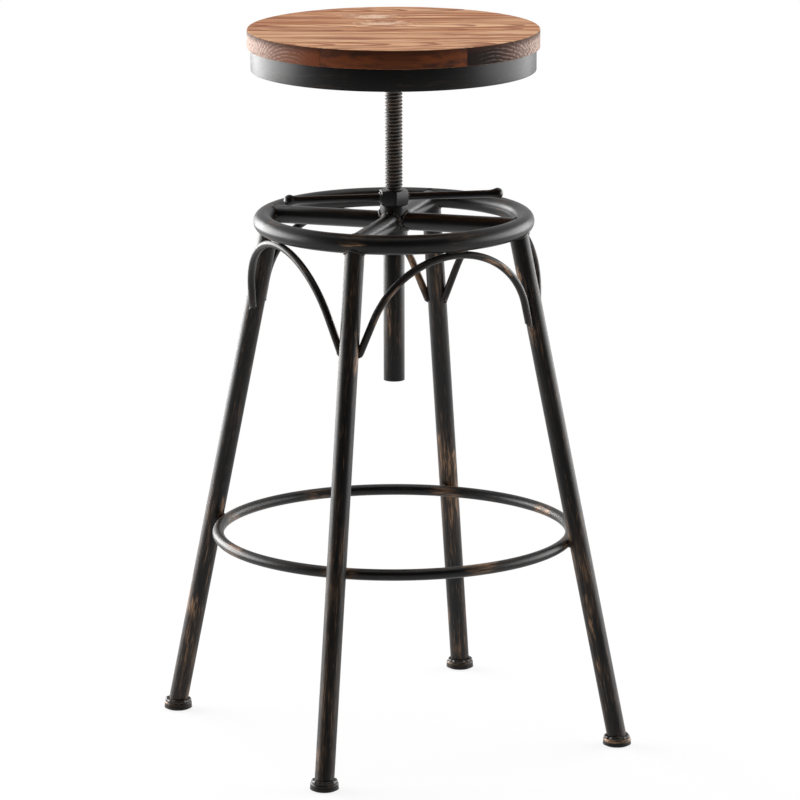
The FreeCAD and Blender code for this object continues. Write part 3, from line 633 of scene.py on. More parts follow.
def revolve(radius, height, sides, centre=(0.0, 0.0), lengthwise=False):
    """A profile turned round an upright axis: each radius and height goes once round the circle.

    The grain runs round the axis, or up it when lengthwise.
    """
    turn = circle(sides)
    radius, height = np.asarray(radius)[:, None], np.asarray(height)[:, None]
    across, beside = radius * np.cos(turn), radius * np.sin(turn)
    points = layers(centre[0] + across, centre[1] + beside, height)
    if lengthwise:
        return points, layers(across, beside, height / STREAK, centre[0])
    return points, layers(across / STREAK, beside / STREAK, radius + centre[0], height + centre[1])


def carry(path, radius, first, sides, closed=False, seed=0.0):
    """A round rod carried along a path: at each point a circle square to it, from a first direction.

    The radius is one number, or one for each path point.
    """
    ahead = np.roll(path, -1, 0) - np.roll(path, 1, 0) if closed else np.gradient(path, axis=0)
    along = unit(ahead)
    first = np.broadcast_to(first, path.shape)
    first = unit(first - np.sum(first * along, -1, keepdims=True) * along)
    second = np.cross(along, first)
    turn = circle(sides)
    radius = np.reshape(radius, (-1, 1))
    across, beside = (radius * part + 0 * path[:, :1] for part in (np.cos(turn), np.sin(turn)))
    points = path[:, None] + across[..., None] * first[:, None] + beside[..., None] * second[:, None]
    steps = np.linalg.norm(np.diff(path, axis=0), axis=1)
    run = np.concatenate([[0.0], np.cumsum(steps)])[:, None]
    return points, layers(across, beside, run / STREAK, seed)


def eased(radius, height, ease, count, upper=False):
    """Quarter-round steps of a profile: up into its side at a lower edge, or out of it at an upper edge."""
    rise = np.linspace(0.0, np.pi / 2, count)
    late, early = ease * (1 - np.cos(rise)), ease * (1 - np.sin(rise))
    return (radius - late, height - early) if upper else (radius - early, height + late)


def outline(*steps):
    """Joins the steps of a profile, each a radius and a height or arrays of them, into two arrays."""
    return [np.concatenate([np.atleast_1d(step[part]) for step in steps]) for part in (0, 1)]


def wall_profile(inner, outer, foot, top, ease):
    """Closed profile of a ring of flat bar with eased edges, up the outside and down the inside."""
    turn = np.linspace(0.0, np.pi / 2, EDGE_STEPS)
    sweep = np.concatenate([turn - np.pi / 2, turn, turn + np.pi / 2, turn + np.pi])
    middle_r = np.repeat([outer - ease, outer - ease, inner + ease, inner + ease], EDGE_STEPS)
    middle_z = np.repeat([foot + ease, top - ease, top - ease, foot + ease], EDGE_STEPS)
    return middle_r + ease * np.cos(sweep), middle_z + ease * np.sin(sweep)


class Skin:
    """Grids of points gathered into one closed mesh, with a grain that follows the surface."""

    def __init__(self):
        self.points = []
        self.grains = []
        self.faces = []
        self.count = 0

    def take(self, points, grain):
        """Keeps points and their grain, and returns their numbers in the grid's shape."""
        numbers = self.count + np.arange(points[..., 0].size).reshape(points.shape[:-1])
        self.points.append(points.reshape(-1, 3))
        self.grains.append(np.broadcast_to(grain, (*points.shape[:-1], 4)).reshape(-1, 4))
        self.count += numbers.size
        return numbers

    def add(self, points, grain, closed=False):
        """Adds a grid whose columns go once round. Its rows are joined up, or ended with flat caps."""
        numbers = self.take(points, grain)
        lower = numbers if closed else numbers[:-1]
        upper = np.roll(numbers, -1, 0) if closed else numbers[1:]
        quads = np.stack([lower, np.roll(lower, -1, 1), np.roll(upper, -1, 1), upper], -1)
        self.faces += quads.reshape(-1, 4).tolist()
        if not closed:
            self.faces += [numbers[0, ::-1].tolist(), numbers[-1].tolist()]

    def add_thread(self, points, grain, step):
        """Adds a helical grid: its last column meets the first one a number of rows higher up.

        Each end is closed with a fan to a point on the axis.
        """
        numbers = self.take(points, grain)
        plain = [numbers[:-1, :-1], numbers[:-1, 1:], numbers[1:, 1:], numbers[1:, :-1]]
        over = [numbers[:-step - 1, -1], numbers[step:-1, 0], numbers[step + 1:, 0], numbers[1:-step, -1]]
        self.faces += np.stack(plain, -1).reshape(-1, 4).tolist() + np.stack(over, -1).tolist()
        low = np.concatenate([numbers[0], numbers[step:0:-1, 0]])
        high = np.concatenate([numbers[-1], numbers[-2:-step - 2:-1, -1]])
        centres = self.take(np.array([points[0, 0] * UP, points[-1, -1] * UP]), np.zeros((2, 4)))
        self.faces += layers(np.roll(low, -1), low, centres[0]).tolist()
        self.faces += layers(high, np.roll(high, -1), centres[1]).tolist()

    def build(self, name, body, make, replaced=(), slot="blackened_steel", crease=38.0):
        """Makes the mesh and its object, which rides on a body and stands for the replaced nodes."""
        mesh = bpy.data.meshes.new(name)
        mesh.from_pydata(np.concatenate(self.points).tolist(), [], self.faces)
        grain = mesh.attributes.new("grain", "FLOAT_COLOR", "POINT")
        grain.data.foreach_set("color", np.concatenate(self.grains).astype(np.float32).ravel())
        mesh.shade_smooth()
        mesh.set_sharp_from_angle(angle=math.radians(crease))
        mesh.materials.append(material(make))
        piece = bpy.data.objects.new(name, mesh)
        bpy.context.scene.collection.objects.link(piece)
        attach(piece, body)
        if replaced:
            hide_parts(*replaced)
        return piece


def build_piece(name, body, make, replaced, *grids, closed=False, **kept):
    """One piece of the stool from grids of points with their grain, in a finish, for one replaced node."""
    skin = Skin()
    for grid in grids:
        skin.add(*grid, closed=closed)
    return skin.build(name, body, make, [replaced], **kept)


# Seat


def board_grid(low, high, seat, pith, seed):
    """One board: an outline of arcs cut by two joints, lofted through levels from the underside to the top.

    At each level the rim is drawn in by the easing and the joints by the groove. A last level further in
    keeps the flat top's shading flat.
    """
    under, over, further = 0.0005, seat.rim_ease, 0.002
    inward, height = eased(0.0, SEAT_TOP, over, 6, upper=True)
    inset = np.concatenate([[further, under, under * 0.3, 0.0], -inward, [over + further]])
    groove = seat.joint_groove * inset / over
    groove[[0, -1]] = further
    height = np.concatenate([
        [SEAT_FOOT, SEAT_FOOT, SEAT_FOOT + under * 0.3, SEAT_FOOT + under], height, [SEAT_TOP]])[:, None]
    radius = (SEAT_RADIUS - inset)[:, None]
    start = np.arcsin(np.clip((low + groove[:, None]) / radius, -1.0, 1.0))
    end = np.arcsin(np.clip((high - groove[:, None]) / radius, -1.0, 1.0))
    share = np.linspace(0.0, 1.0, 90)
    right = start + (end - start) * share
    left = np.pi - end + (end - start) * share
    if low <= -SEAT_RADIUS:
        left = left[:, :-1]
    if high >= SEAT_RADIUS:
        left = left[:, 1:]
    turn = np.concatenate([right, left], 1)
    along, across = radius * np.cos(turn), radius * np.sin(turn)
    cosine, sine = math.cos(seat.turn), math.sin(seat.turn)
    points = layers(along * cosine - across * sine, along * sine + across * cosine, height)
    middle = (max(low, -SEAT_RADIUS) + min(high, SEAT_RADIUS)) / 2
    return points, layers(along, across - middle - pith[0], height - SEAT_FOOT - pith[1], seed)


class BuildBoards(bpy.types.Operator):
    """Builds the five boards of the seat."""

    bl_idname = "stool.build_boards"
    bl_label = "Seat boards"

    def execute(self, context):
        seat = context.scene.stool_seat
        first = seat.front_depth - SEAT_RADIUS
        joints = [-SEAT_RADIUS, *(first + seat.board_width * np.arange(4)), SEAT_RADIUS]
        for number, name in enumerate(BOARD_NAMES):
            grid = board_grid(joints[number], joints[number + 1], seat, PITHS[number], 2.7 * number)
            build_piece(f"{name}_wood", "seat", seat_wood, name, grid, slot="seat_wood")
        return {"FINISHED"}


class BuildBand(bpy.types.Operator):
    """Builds the rolled steel band under the seat's rim."""

    bl_idname = "stool.build_band"
    bl_label = "Seat band"

    def execute(self, context):
        seat = context.scene.stool_seat
        profile = wall_profile(BAND_RADIUS - seat.band_wall, BAND_RADIUS, BAND_FOOT, BAND_TOP, seat.band_ease)
        build_piece("seat_band_bar", "seat", band_steel, "seat_band", revolve(*profile, 240), closed=True)
        return {"FINISHED"}


class BuildSeatFixings(bpy.types.Operator):
    """Builds the screws under the seat, with a small recess in each head, and the spindle's flange."""

    bl_idname = "stool.build_seat_fixings"
    bl_label = "Screws and flange"

    def execute(self, context):
        seat = context.scene.stool_seat
        low, high = (corner[2] for corner in corners("seat_screws"))
        head, shank, rise, tip, point = seat.screw_head / 2, 0.00225, 0.003, 0.004, 0.0004
        dome = np.linspace(0.0, np.pi / 2, 7)[2:]
        recess = ((0.0006, low + 0.0014), (0.0012, low + 0.0013), (0.0016, low))
        profile = outline(
            *recess, (head * np.sin(dome), low + rise * (1 - np.cos(dome))), (shank, low + rise),
            (shank, high - tip), (point, high))
        turns = seat.turn + np.radians([0.0, 90.0, 180.0, 270.0])
        grids = [revolve(*profile, 24, (reach * math.cos(turn), reach * math.sin(turn)))
                 for turn in turns for reach in (seat.screw_inner, seat.screw_outer)]
        build_piece("seat_screws_plated", "seat", plated_steel, "seat_screws", *grids, slot="plated_steel")
        flat, ease = FLANGE_RADIUS - 0.003, 0.0008
        profile = outline(
            (POLE, FLANGE_FOOT), (flat, FLANGE_FOOT), eased(FLANGE_RADIUS, FLANGE_FOOT, ease, 4),
            eased(FLANGE_RADIUS, FLANGE_TOP, ease, 4, upper=True), (flat, FLANGE_TOP), (POLE, FLANGE_TOP))
        build_piece("spindle_flange_plate", "seat", band_steel, "spindle_flange", revolve(*profile, 72))
        return {"FINISHED"}


# Height screw and lock


class BuildSpindle(bpy.types.Operator):
    """Builds the height screw: one thread profile carried up a helix."""

    bl_idname = "stool.build_spindle"
    bl_label = "Height screw"

    def execute(self, context):
        screw = context.scene.stool_screw
        turns = int((SPINDLE_TOP - SPINDLE_FOOT) / screw.pitch) - 1
        rise = (np.arange(turns)[:, None] + THREAD_RISE).ravel()[:, None] * screw.pitch
        turn = circle(64)
        radius = SPINDLE_RADIUS - screw.depth * np.tile(THREAD_SUNK, turns)[:, None]
        height = SPINDLE_FOOT + rise + screw.pitch * turn / (2 * np.pi)
        across, beside = radius * np.cos(turn), radius * np.sin(turn)
        skin = Skin()
        skin.add_thread(
            layers(across, beside, height), layers(across, beside, height / STREAK, 0.0), len(THREAD_RISE))
        skin.build("spindle_thread", "seat", thread_steel, ["spindle"], "thread_steel")
        return {"FINISHED"}


class BuildLock(bpy.types.Operator):
    """Builds the hexagonal lock nut and its two arms with ball ends."""

    bl_idname = "stool.build_lock"
    bl_label = "Lock nut and arms"

    def nut(self, screw):
        """A hexagon whose radius is half the width over the cosine of the angle from the nearest flat.

        Both ends are cut by a shallow cone, and a bore goes through.
        """
        turn = circle(192)
        flat, bore, ease = screw.nut_across / 2, SPINDLE_RADIUS + FIT, 0.0005
        slope, lip, widest = 0.22, 0.0002, 1.145
        off = (turn + np.pi / 6) % (np.pi / 3) - np.pi / 6
        corner = np.minimum(flat / np.cos(off), flat * widest)
        fall = (corner - flat) * slope + lip
        steps = (
            (bore, ease), (bore + ease, 0.0), (flat - 0.003, 0.0), (flat - 0.0004, 0.0),
            (corner - ease * 0.2, fall), (corner, fall + ease))
        steps = np.array([(0 * turn + radius, 0 * turn + depth) for radius, depth in steps])
        radius = np.concatenate([steps[:, 0], steps[::-1, 0]])
        height = np.concatenate([NUT_FOOT + steps[:, 1], NUT_TOP - steps[::-1, 1]])
        away = turn + screw.nut_turn
        across, beside = radius * np.cos(away), radius * np.sin(away)
        return layers(across, beside, height), layers(across / STREAK, beside / STREAK, radius, height)

    def arm(self, screw, turn):
        """A rod that swells through a smooth neck into a ball, turned about the arm's own axis."""
        bite, flare = 0.001, 1.7
        start = screw.nut_across / 2 - bite
        ball = np.linspace(np.radians(120), np.radians(2), 22)
        ball_out = screw.arm_reach + screw.ball_radius * np.cos(ball)
        ball_radius = screw.ball_radius * np.sin(ball)
        neck = np.linspace(0.0, 1.0, 10)[:-1]
        neck_start = screw.arm_reach - screw.neck
        neck_out = neck_start + neck * (ball_out[0] - neck_start)
        neck_radius = screw.arm_radius + (ball_radius[0] - screw.arm_radius) * neck ** flare
        rod_out = np.linspace(start, neck_start, 14)[:-1]
        out = np.concatenate([rod_out, neck_out, ball_out])[:, None]
        radius = np.concatenate([0 * rod_out + screw.arm_radius, neck_radius, ball_radius])
        path = out * compass(turn)[0] + (NUT_FOOT + NUT_TOP) / 2 * UP
        return carry(path, radius, UP, 32, seed=turn)

    def execute(self, context):
        screw = context.scene.stool_screw
        nut = self.nut(screw)
        build_piece("lock_nut_hexagon", "lock", middle_steel, "lock_nut", nut, closed=True, crease=24.0)
        for side, turn in (("right", 0.0), ("left", np.pi)):
            name = f"lock_arm_{side}"
            build_piece(f"{name}_rod", "lock", middle_steel, name, self.arm(screw, screw.nut_turn + turn))
        return {"FINISHED"}


class BuildHub(bpy.types.Operator):
    """Builds the hub, bored from below for the guide tube, and the tube."""

    bl_idname = "stool.build_hub"
    bl_label = "Hub and guide tube"

    def execute(self, context):
        base = context.scene.stool_base
        bore, hub_ease, tube_ease = SPINDLE_RADIUS + FIT, 0.001, 0.0005
        kept = 3 * EDGE_STEPS
        radius, height = wall_profile(bore, HUB_RADIUS, HUB_FOOT, HUB_TOP, hub_ease)
        profile = outline(
            (radius[:kept], height[:kept]), (bore, GUIDE_TOP), (GUIDE_RADIUS, GUIDE_TOP),
            (GUIDE_RADIUS, HUB_FOOT))
        build_piece("hub_boss", "base", middle_steel, "hub", revolve(*profile, 96), closed=True)
        guide_bore = GUIDE_RADIUS - base.guide_wall
        profile = wall_profile(guide_bore, GUIDE_RADIUS, GUIDE_FOOT, GUIDE_TOP, tube_ease)
        tube = revolve(*profile, 72, lengthwise=True)
        build_piece("guide_tube_pipe", "base", leg_steel, "guide_tube", tube, closed=True)
        return {"FINISHED"}


# Welded base


def leg_line(place, base):
    """Foot point and unit direction of a leg's centre line."""
    foot = FEET[place] + CAP_TOP * UP
    top = OUTWARD[place] * (RING_RADIUS - base.leg_inset) + RING_HEIGHT * UP
    return foot, unit(top - foot)


def leg_sides(place, base, sides):
    """Points round a leg's level-cut foot, its direction, the ways out, and the runs to its end."""
    foot, along = leg_line(place, base)
    front = np.cross(np.cross(UP, OUTWARD[place]), along)
    turn = circle(sides)[:, None]
    out = np.cos(turn) * front + np.sin(turn) * np.cross(along, front)
    rim = foot + base.leg_radius * out
    rim = rim - along * ((rim[:, 2:] - CAP_TOP) / along[2])
    reach = (RING_HEIGHT - base.leg_drop - CAP_TOP) / along[2]
    return rim, along, out, (reach - (rim - foot) @ along)[:, None]


class BuildLegs(bpy.types.Operator):
    """Builds the four leaning legs, cut level at the foot."""

    bl_idname = "stool.build_legs"
    bl_label = "Legs"

    def execute(self, context):
        base = context.scene.stool_base
        share = np.linspace(0.0, 1.0, 30)[:, None, None]
        turn = circle(48)
        across, beside = np.cos(turn) * base.leg_radius, np.sin(turn) * base.leg_radius
        for number, place in enumerate(LEG_PLACES):
            rim, along, _, run = leg_sides(place, base, len(turn))
            points = rim + share * run * along
            grain = layers(across, beside, (points @ along) / STREAK, 1.3 * number)
            build_piece(f"leg_{place}_tube", "base", leg_steel, f"leg_{place}", (points, grain))
        return {"FINISHED"}


class BuildRings(bpy.types.Operator):
    """Builds the top ring and the foot ring of bent tube."""

    bl_idname = "stool.build_rings"
    bl_label = "Rings"

    def execute(self, context):
        turn = circle(40)
        for name in ("top_ring", "foot_ring"):
            height, radius, tube = ring_sizes(name)
            grid = revolve(radius + tube * np.cos(turn), height + tube * np.sin(turn), 220)
            build_piece(f"{name}_tube", "base", ring_steel, name, grid, closed=True)
        return {"FINISHED"}


class BuildSpokes(bpy.types.Operator):
    """Builds the four spokes, which end inside the hub and the top ring."""

    bl_idname = "stool.build_spokes"
    bl_label = "Spokes"

    def execute(self, context):
        radius = context.scene.stool_base.spoke_radius
        into_hub, into_ring = 0.004, 0.005
        reach = np.linspace(HUB_RADIUS - into_hub, RING_RADIUS - RING_TUBE + into_ring, 12)[:, None]
        for number, place in enumerate(LEG_PLACES):
            grid = carry(reach * OUTWARD[place] + RING_HEIGHT * UP, radius, UP, 40, seed=5.0 + number)
            build_piece(f"spoke_{place}_tube", "base", spoke_steel, f"spoke_{place}", grid)
        return {"FINISHED"}


def arch_path(side, base):
    """Centre line of an arch: a bend under the ring that runs on into a straight tail at each end.

    In its own leaning plane the bend is at (R sin a, R cos a - R), and the tails go on along its end
    tangents, each trimmed to the leg it meets.
    """
    bend = np.linspace(-base.arch_sweep, base.arch_sweep, 81)
    across, down = base.arch_bend * np.sin(bend), base.arch_bend * (np.cos(bend) - 1)
    number = list(ARCH_SIDES).index(side)
    before, after = (base.arch_tail + ARCH_TRIM[LEG_PLACES[place]] for place in (number - 1, number))
    share = np.linspace(1.0, 0.0, 4)[:-1]
    before, after = share * before, share[::-1] * after
    cosine, sine = math.cos(base.arch_sweep), math.sin(base.arch_sweep)
    across = np.concatenate([-across[-1] - before * cosine, across, across[-1] + after * cosine])[:, None]
    down = np.concatenate([down[-1] - before * sine, down, down[-1] - after * sine])[:, None]
    outward, beside = compass(math.radians(ARCH_SIDES[side]))
    lean = math.sin(base.arch_lean) * outward + math.cos(base.arch_lean) * UP
    crown = RING_HEIGHT - RING_TUBE - base.arch_radius + base.weld_bite
    path = RING_RADIUS * outward + crown * UP + across * beside + down * lean
    return path, np.cross(beside, lean), beside


def arch_rod(side, base):
    """An arch's rod, its ends cut on a slant so that the tips lie against the legs."""
    path, square, beside = arch_path(side, base)
    points, grain = carry(path, base.arch_radius, square, 28, seed=9.0 + ARCH_SIDES[side])
    for end, beyond, sign in ((0, 1, -1.0), (-1, -2, 1.0)):
        ahead = unit(path[end] - path[beyond])
        points[end] += ((points[end] - path[end]) @ beside)[:, None] * sign * ARCH_SLANT * ahead
    return points, grain


class BuildArches(bpy.types.Operator):
    """Builds the four bent-rod arches between the legs."""

    bl_idname = "stool.build_arches"
    bl_label = "Arches"

    def execute(self, context):
        for side in ARCH_SIDES:
            grid = arch_rod(side, context.scene.stool_base)
            build_piece(f"arch_{side}_rod", "base", arch_steel, f"arch_{side}", grid)
        return {"FINISHED"}


class BuildFeet(bpy.types.Operator):
    """Builds the foot discs and the glides under them."""

    bl_idname = "stool.build_feet"
    bl_label = "Feet"

    def execute(self, context):
        lip, waist, waist_rise, top_ease = 0.0006, CAP_RADIUS - 0.0004, 0.0028, 0.0026
        hollow, lift, glide_ease, chamfer = 0.0015, 0.0002, 0.0008, 0.001
        disc = outline(
            (POLE, CAP_FOOT + hollow), (GLIDE_RADIUS, CAP_FOOT + lift), (CAP_RADIUS - lip, CAP_FOOT),
            eased(CAP_RADIUS, CAP_FOOT, lip, 7), (waist, CAP_FOOT + waist_rise),
            eased(waist, CAP_TOP, top_ease, 7, upper=True), (waist - top_ease - chamfer, CAP_TOP),
            (POLE, CAP_TOP))
        pad = outline(
            (POLE, 0.0), (GLIDE_RADIUS - 0.003, 0.0), eased(GLIDE_RADIUS, 0.0, glide_ease, 7),
            (GLIDE_RADIUS, GLIDE_TOP - chamfer / 2), (GLIDE_RADIUS - chamfer, GLIDE_TOP), (POLE, GLIDE_TOP))
        for place, foot in FEET.items():
            cap, glide = f"foot_cap_{place}", f"foot_glide_{place}"
            build_piece(f"{cap}_disc", "base", foot_steel, cap, revolve(*disc, 64, foot[:2]))
            build_piece(f"{glide}_pad", "base", moulded_plastic, glide, revolve(*pad, 48, foot[:2]),
                        slot="glide_plastic")
        return {"FINISHED"}


# Welds


def bead(skin, loop, outward, radius, seed):
    """A weld bead: a rod carried round a closed loop, its radius rising and falling in uneven ripples."""
    chance = np.random.default_rng(seed)
    share = circle(len(loop))
    way_round = np.sum(np.linalg.norm(np.roll(loop, -1, 0) - loop, axis=1))
    ripples = max(3, round(way_round / (2.2 * radius)))
    phase = chance.uniform(0.0, 2 * np.pi, 4)
    swell = (1 + 0.09 * np.sin(ripples * share + 1.5 * np.sin(2 * share + phase[3]) + phase[0])
             + 0.16 * np.sin(3 * share + phase[1]) + 0.14 * np.sin(5 * share + phase[2]))
    skin.add(*carry(loop, radius * swell, outward, 12, closed=True, seed=0.1 * seed), closed=True)


class BuildWelds(bpy.types.Operator):
    """Builds the weld beads along the lines where the steel pieces meet.

    Each loop comes with the directions that point out from its middle.
    """

    bl_idname = "stool.build_welds"
    bl_label = "Welds"

    def leg_top(self, place, base):
        """Loop where a leg's surface lines first meet the top ring, or the leg's own end."""
        reach = 0.045
        rim, along, out, run = leg_sides(place, base, 120)
        near = rim + (run - reach) * along
        rise = np.linspace(0.0, 1.0, 400) * reach
        points = near[:, None] + rise[:, None] * along
        aside = np.hypot(points[..., 0], points[..., 1]) - RING_RADIUS
        inside = np.hypot(aside, points[..., 2] - RING_HEIGHT) < RING_TUBE
        first = np.where(inside.any(1), rise[inside.argmax(1)], reach)
        return near + first[:, None] * along, out

    def spoke_ends(self, place, base):
        """Loops where a spoke meets the hub's round side and the top ring's inner side."""
        outward = OUTWARD[place]
        turn = circle(96)[:, None]
        out = np.cos(turn) * np.cross(UP, outward) + np.sin(turn) * UP
        wide, tall = base.spoke_radius * np.cos(turn), base.spoke_radius * np.sin(turn)
        side = base.spoke_radius * out + RING_HEIGHT * UP
        at_hub = np.sqrt(HUB_RADIUS ** 2 - wide ** 2)
        at_ring = np.sqrt((RING_RADIUS - np.sqrt(RING_TUBE ** 2 - tall ** 2)) ** 2 - wide ** 2)
        return (side + at_hub * outward, out), (side + at_ring * outward, out)

    def foot_ring(self, place, base):
        """Oval loop in the crevice where the foot ring's outside touches a leg's inside."""
        outward = OUTWARD[place]
        along = leg_line(place, base)[1]
        beside = np.cross(UP, outward)
        inward = np.cross(along, beside)
        inward = inward * -np.sign(inward @ outward)
        centre = outward * FOOT_RING_RADIUS + FOOT_RING_HEIGHT * UP
        touch = centre - (FOOT_RING_TUBE - base.weld_bite / 2) * inward
        turn = circle(72)[:, None]
        half_width, half_height = 0.0056, 0.0044
        wide, tall = half_width * np.cos(turn), half_height * np.sin(turn)
        lift = (tall ** 2 / (2 * FOOT_RING_TUBE) - wide ** 2 / (2 * base.leg_radius)) / 2
        out = np.cos(turn) * beside + np.sin(turn) * along
        return touch + wide * beside + tall * along + lift * inward, out

    def arch_crown(self, side, base):
        """Long oval loop in the crevice between an arch's crown and the ring above it."""
        outward, beside = compass(math.radians(ARCH_SIDES[side]))
        turn = circle(90)[:, None]
        half_length, half_depth = 0.012, 0.0027
        wide, deep = half_length * np.cos(turn), half_depth * np.sin(turn)
        lift = (deep ** 2 / (2 * RING_TUBE) - deep ** 2 / (2 * base.arch_radius)
                - wide ** 2 / (2 * base.arch_bend)) / 2
        touch = (RING_RADIUS - wide ** 2 / (2 * RING_RADIUS)) * outward + (RING_HEIGHT - RING_TUBE) * UP
        loop = touch + wide * beside + deep * outward + lift * UP
        return loop, np.cos(turn) * beside + np.sin(turn) * outward

    def execute(self, context):
        base, screw = context.scene.stool_base, context.scene.stool_screw
        size, tip_share = base.bead_radius, 0.8
        foot_lift, foot_gap, guide_gap, arm_gap, flange_gap = 0.0004, 0.0012, 0.0008, 0.0004, 0.0003
        turn = circle(96)[:, None]
        level = np.concatenate([np.cos(turn), np.sin(turn), 0 * turn], 1)
        skin = Skin()
        for number, place in enumerate(LEG_PLACES):
            at_hub, at_ring = self.spoke_ends(place, base)
            rim, _, out, _ = leg_sides(place, base, 96)
            beads = (
                (self.leg_top(place, base), 0.85, 10), (at_hub, 1.15, 20), (at_ring, 0.65, 30),
                (self.foot_ring(place, base), 0.62, 40),
                ((rim + foot_lift * UP + foot_gap * out, out), 1.35, 50))
            for loop, share, seed in beads:
                bead(skin, *loop, size * share, seed + number)
        for number, side in enumerate(ARCH_SIDES):
            bead(skin, *self.arch_crown(side, base), size * 0.5, 60 + number)
            points = arch_rod(side, base)[0]
            for end, seed in ((points[0], 100), (points[-1], 110)):
                middle = end.mean(0)
                bead(skin, middle + tip_share * (end - middle), unit(end - middle), size * 0.6, seed + number)
        bead(skin, (GUIDE_RADIUS + guide_gap) * level + HUB_FOOT * UP, level, size * 0.7, 70)
        skin.build("base_welds", "base", weld_steel)
        skin = Skin()
        for number, away in enumerate((screw.nut_turn, screw.nut_turn + np.pi)):
            outward = compass(away)[0]
            out = np.cos(turn) * np.cross(UP, outward) + np.sin(turn) * UP
            centre = outward * screw.nut_across / 2 + UP * (NUT_FOOT + NUT_TOP) / 2
            bead(skin, centre + (screw.arm_radius + arm_gap) * out, out, size * 0.85, 80 + number)
        skin.build("lock_welds", "lock", weld_steel)
        skin = Skin()
        bead(skin, (SPINDLE_RADIUS + flange_gap) * level + FLANGE_FOOT * UP, level, size * 0.8, 90)
        skin.build("seat_welds", "seat", weld_steel)
        return {"FINISHED"}


# Carried-over pieces and stage


class FinishKeptPieces(bpy.types.Operator):
    """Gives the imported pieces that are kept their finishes."""

    bl_idname = "stool.finish_kept_pieces"
    bl_label = "Bars, bush, washer and bolt"

    def execute(self, context):
        finishes = {
            "cross_bar_long": band_steel, "cross_bar_right": band_steel, "cross_bar_left": band_steel,
            "guide_bush": moulded_plastic, "stop_washer": plated_steel, "end_bolt": plated_steel}
        for name, make in finishes.items():
            node = frame["nodes"][name]
            if not node.material_slots:
                raise RuntimeError(f"{name} has no material slot")
            for slot in node.material_slots:
                slot.material = material(make)
        return {"FINISHED"}


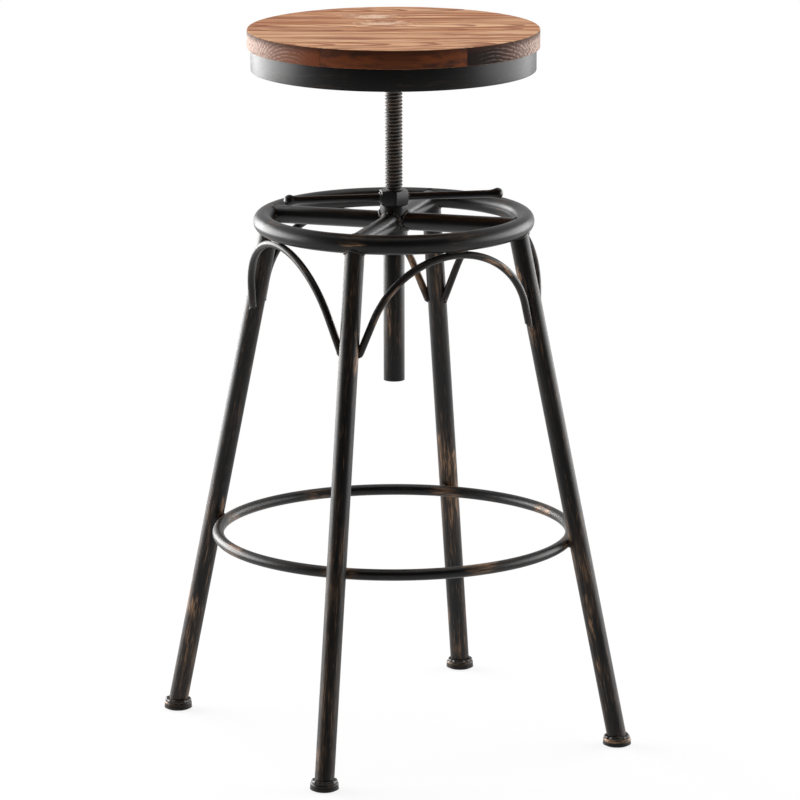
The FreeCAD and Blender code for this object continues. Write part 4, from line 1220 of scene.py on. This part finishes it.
class BuildStage(bpy.types.Operator):
    """Sets up the pale floor, the soft lamps, the room and the camera."""

    bl_idname = "stool.build_stage"
    bl_label = "Stage"

    def shown(self, shader, mirrored):
        """One for rays that see the background, and a share of it for rays that mirror it or pass through."""
        seen, mirror, through = (
            shader.node("ShaderNodeLightPath", {}, {}, f"Is {kind} Ray")
            for kind in ("Camera", "Glossy", "Transmission"))
        return seen.larger(mirror.larger(through) * mirrored)

    def floor(self, settings):
        """A flat disc of rings, white with the stool's soft shadow left in it; as light, lit as it is."""
        turn = circle(96)
        radius = np.linspace(0.2, settings.floor_radius, 12)[:, None]
        points = layers(radius * np.cos(turn), radius * np.sin(turn), 0.0)
        rings = np.arange(points[..., 0].size).reshape(points.shape[:2])
        quads = np.stack([rings[:-1], rings[1:], np.roll(rings[1:], -1, 1), np.roll(rings[:-1], -1, 1)], -1)
        faces = quads.reshape(-1, 4).tolist() + [rings[0].tolist()]
        mesh = bpy.data.meshes.new("floor")
        mesh.from_pydata(points.reshape(-1, 3).tolist(), [], faces)
        shader = Shader(bpy.data.materials.new("pale_floor"))
        away = compass(settings.heading)[1]
        seen = self.shown(shader, shader.dot(shader.place(), away).ease(-2.4, -0.9))
        lit = shader.node("ShaderNodeBsdfDiffuse", {}, {"Color": (0.86, 0.86, 0.86, 1.0)})
        white = shader.node("ShaderNodeEmission", {}, {"Color": (1.0, 1.0, 1.0, 1.0), "Strength": 1.0})
        share = seen * (0.84 + shader.length(shader.place()).ease(0.35, 0.9) * 0.16)
        mixed = shader.node("ShaderNodeMixShader", {}, {0: share, 1: lit, 2: white})
        mesh.materials.append(shader.end(mixed))
        floor = bpy.data.objects.new("floor", mesh)
        bpy.context.scene.collection.objects.link(floor)

    def room(self, settings):
        """White to the camera and, behind the stool, to mirrored rays; as light, dimmer on the near side."""
        world = bpy.data.worlds.new("room")
        shader = Shader(world)
        behind = shader.dot(shader.place("Generated"), compass(settings.heading)[1])
        level = settings.near_side + behind.ease(-0.45, 0.75) * (settings.far_side - settings.near_side)
        white = self.shown(shader, behind.ease(-0.15, 0.3))
        shader.end(shader.node("ShaderNodeBackground", {}, {"Strength": white + (1 - white) * level}),
                   "ShaderNodeOutputWorld")
        bpy.context.scene.world = world

    def lamp(self, name, power, wide, tall, place):
        """A soft rectangular lamp that points at the stool and isn't seen by the camera."""
        light = bpy.data.lights.new(name, "AREA")
        light.shape = "RECTANGLE"
        light.size, light.size_y, light.energy = wide, tall, power
        lamp = bpy.data.objects.new(name, light)
        lamp.location = place
        lamp.rotation_euler = (Vector(LIT_POINT) - place).to_track_quat("-Z", "Y").to_euler()
        lamp.visible_camera = False
        bpy.context.scene.collection.objects.link(lamp)

    def camera(self, settings):
        """The camera stands at its distance and height, turned by heading, pitch and roll."""
        lens = bpy.data.cameras.new("photo_camera")
        lens.lens, lens.sensor_width, lens.clip_end = settings.lens, 36.0, 100.0
        camera = bpy.data.objects.new("photo_camera", lens)
        bpy.context.scene.collection.objects.link(camera)
        heading = Matrix.Rotation(settings.heading, 4, "Z")
        tilt = Matrix.Rotation(math.pi / 2 + settings.pitch, 4, "X")
        turned = heading @ tilt @ Matrix.Rotation(settings.roll, 4, "Z")
        stand = settings.stand
        place = (settings.distance * math.sin(stand), -settings.distance * math.cos(stand), settings.height)
        camera.matrix_world = Matrix.Translation(place) @ turned
        bpy.context.scene.camera = camera

    def execute(self, context):
        settings = context.scene.stool_stage
        self.floor(settings)
        self.room(settings)
        turn = Matrix.Rotation(settings.stand, 3, "Z")
        for name, (wide, tall, place) in LAMPS.items():
            self.lamp(name, getattr(settings, name), wide, tall, turn @ Vector(place))
        self.camera(settings)
        context.scene.view_settings.view_transform = "Standard"
        return {"FINISHED"}


class StoolPanel(bpy.types.Panel):
    """Lists the stool's sizes, finishes and pieces."""

    bl_idname = "VIEW3D_PT_stool"
    bl_label = "Bar stool"
    bl_space_type = "VIEW_3D"
    bl_region_type = "UI"
    bl_category = "Stool"

    def draw(self, context):
        for kind in OPERATORS:
            self.layout.operator(kind.bl_idname)
        for name in GROUPS:
            group = getattr(context.scene, name)
            for key in group.bl_rna.properties.keys():
                if key not in {"rna_type", "name"}:
                    self.layout.prop(group, key)


GROUPS = {
    "stool_seat": SeatSizes, "stool_screw": ScrewSizes, "stool_base": BaseSizes, "stool_finish": StoolFinish,
    "stool_stage": StageSettings}
OPERATORS = (
    BuildBoards, BuildBand, BuildSeatFixings, BuildSpindle, BuildLock, BuildHub, BuildLegs, BuildRings,
    BuildSpokes, BuildArches, BuildFeet, BuildWelds, FinishKeptPieces, BuildStage)


def register():
    """Registers the properties, operators and panel."""
    for kind in (*GROUPS.values(), *OPERATORS, StoolPanel):
        bpy.utils.register_class(kind)
    for name, kind in GROUPS.items():
        setattr(bpy.types.Scene, name, PointerProperty(type=kind))


def unregister():
    """Takes the properties, operators and panel away again."""
    for name in GROUPS:
        delattr(bpy.types.Scene, name)
    for kind in (StoolPanel, *reversed(OPERATORS), *reversed(GROUPS.values())):
        bpy.utils.unregister_class(kind)


def main():
    """Builds every piece and the stage."""
    register()
    for kind in OPERATORS:
        group, name = kind.bl_idname.split(".")
        getattr(getattr(bpy.ops, group), name)()


if __name__ == "__main__":
    main()
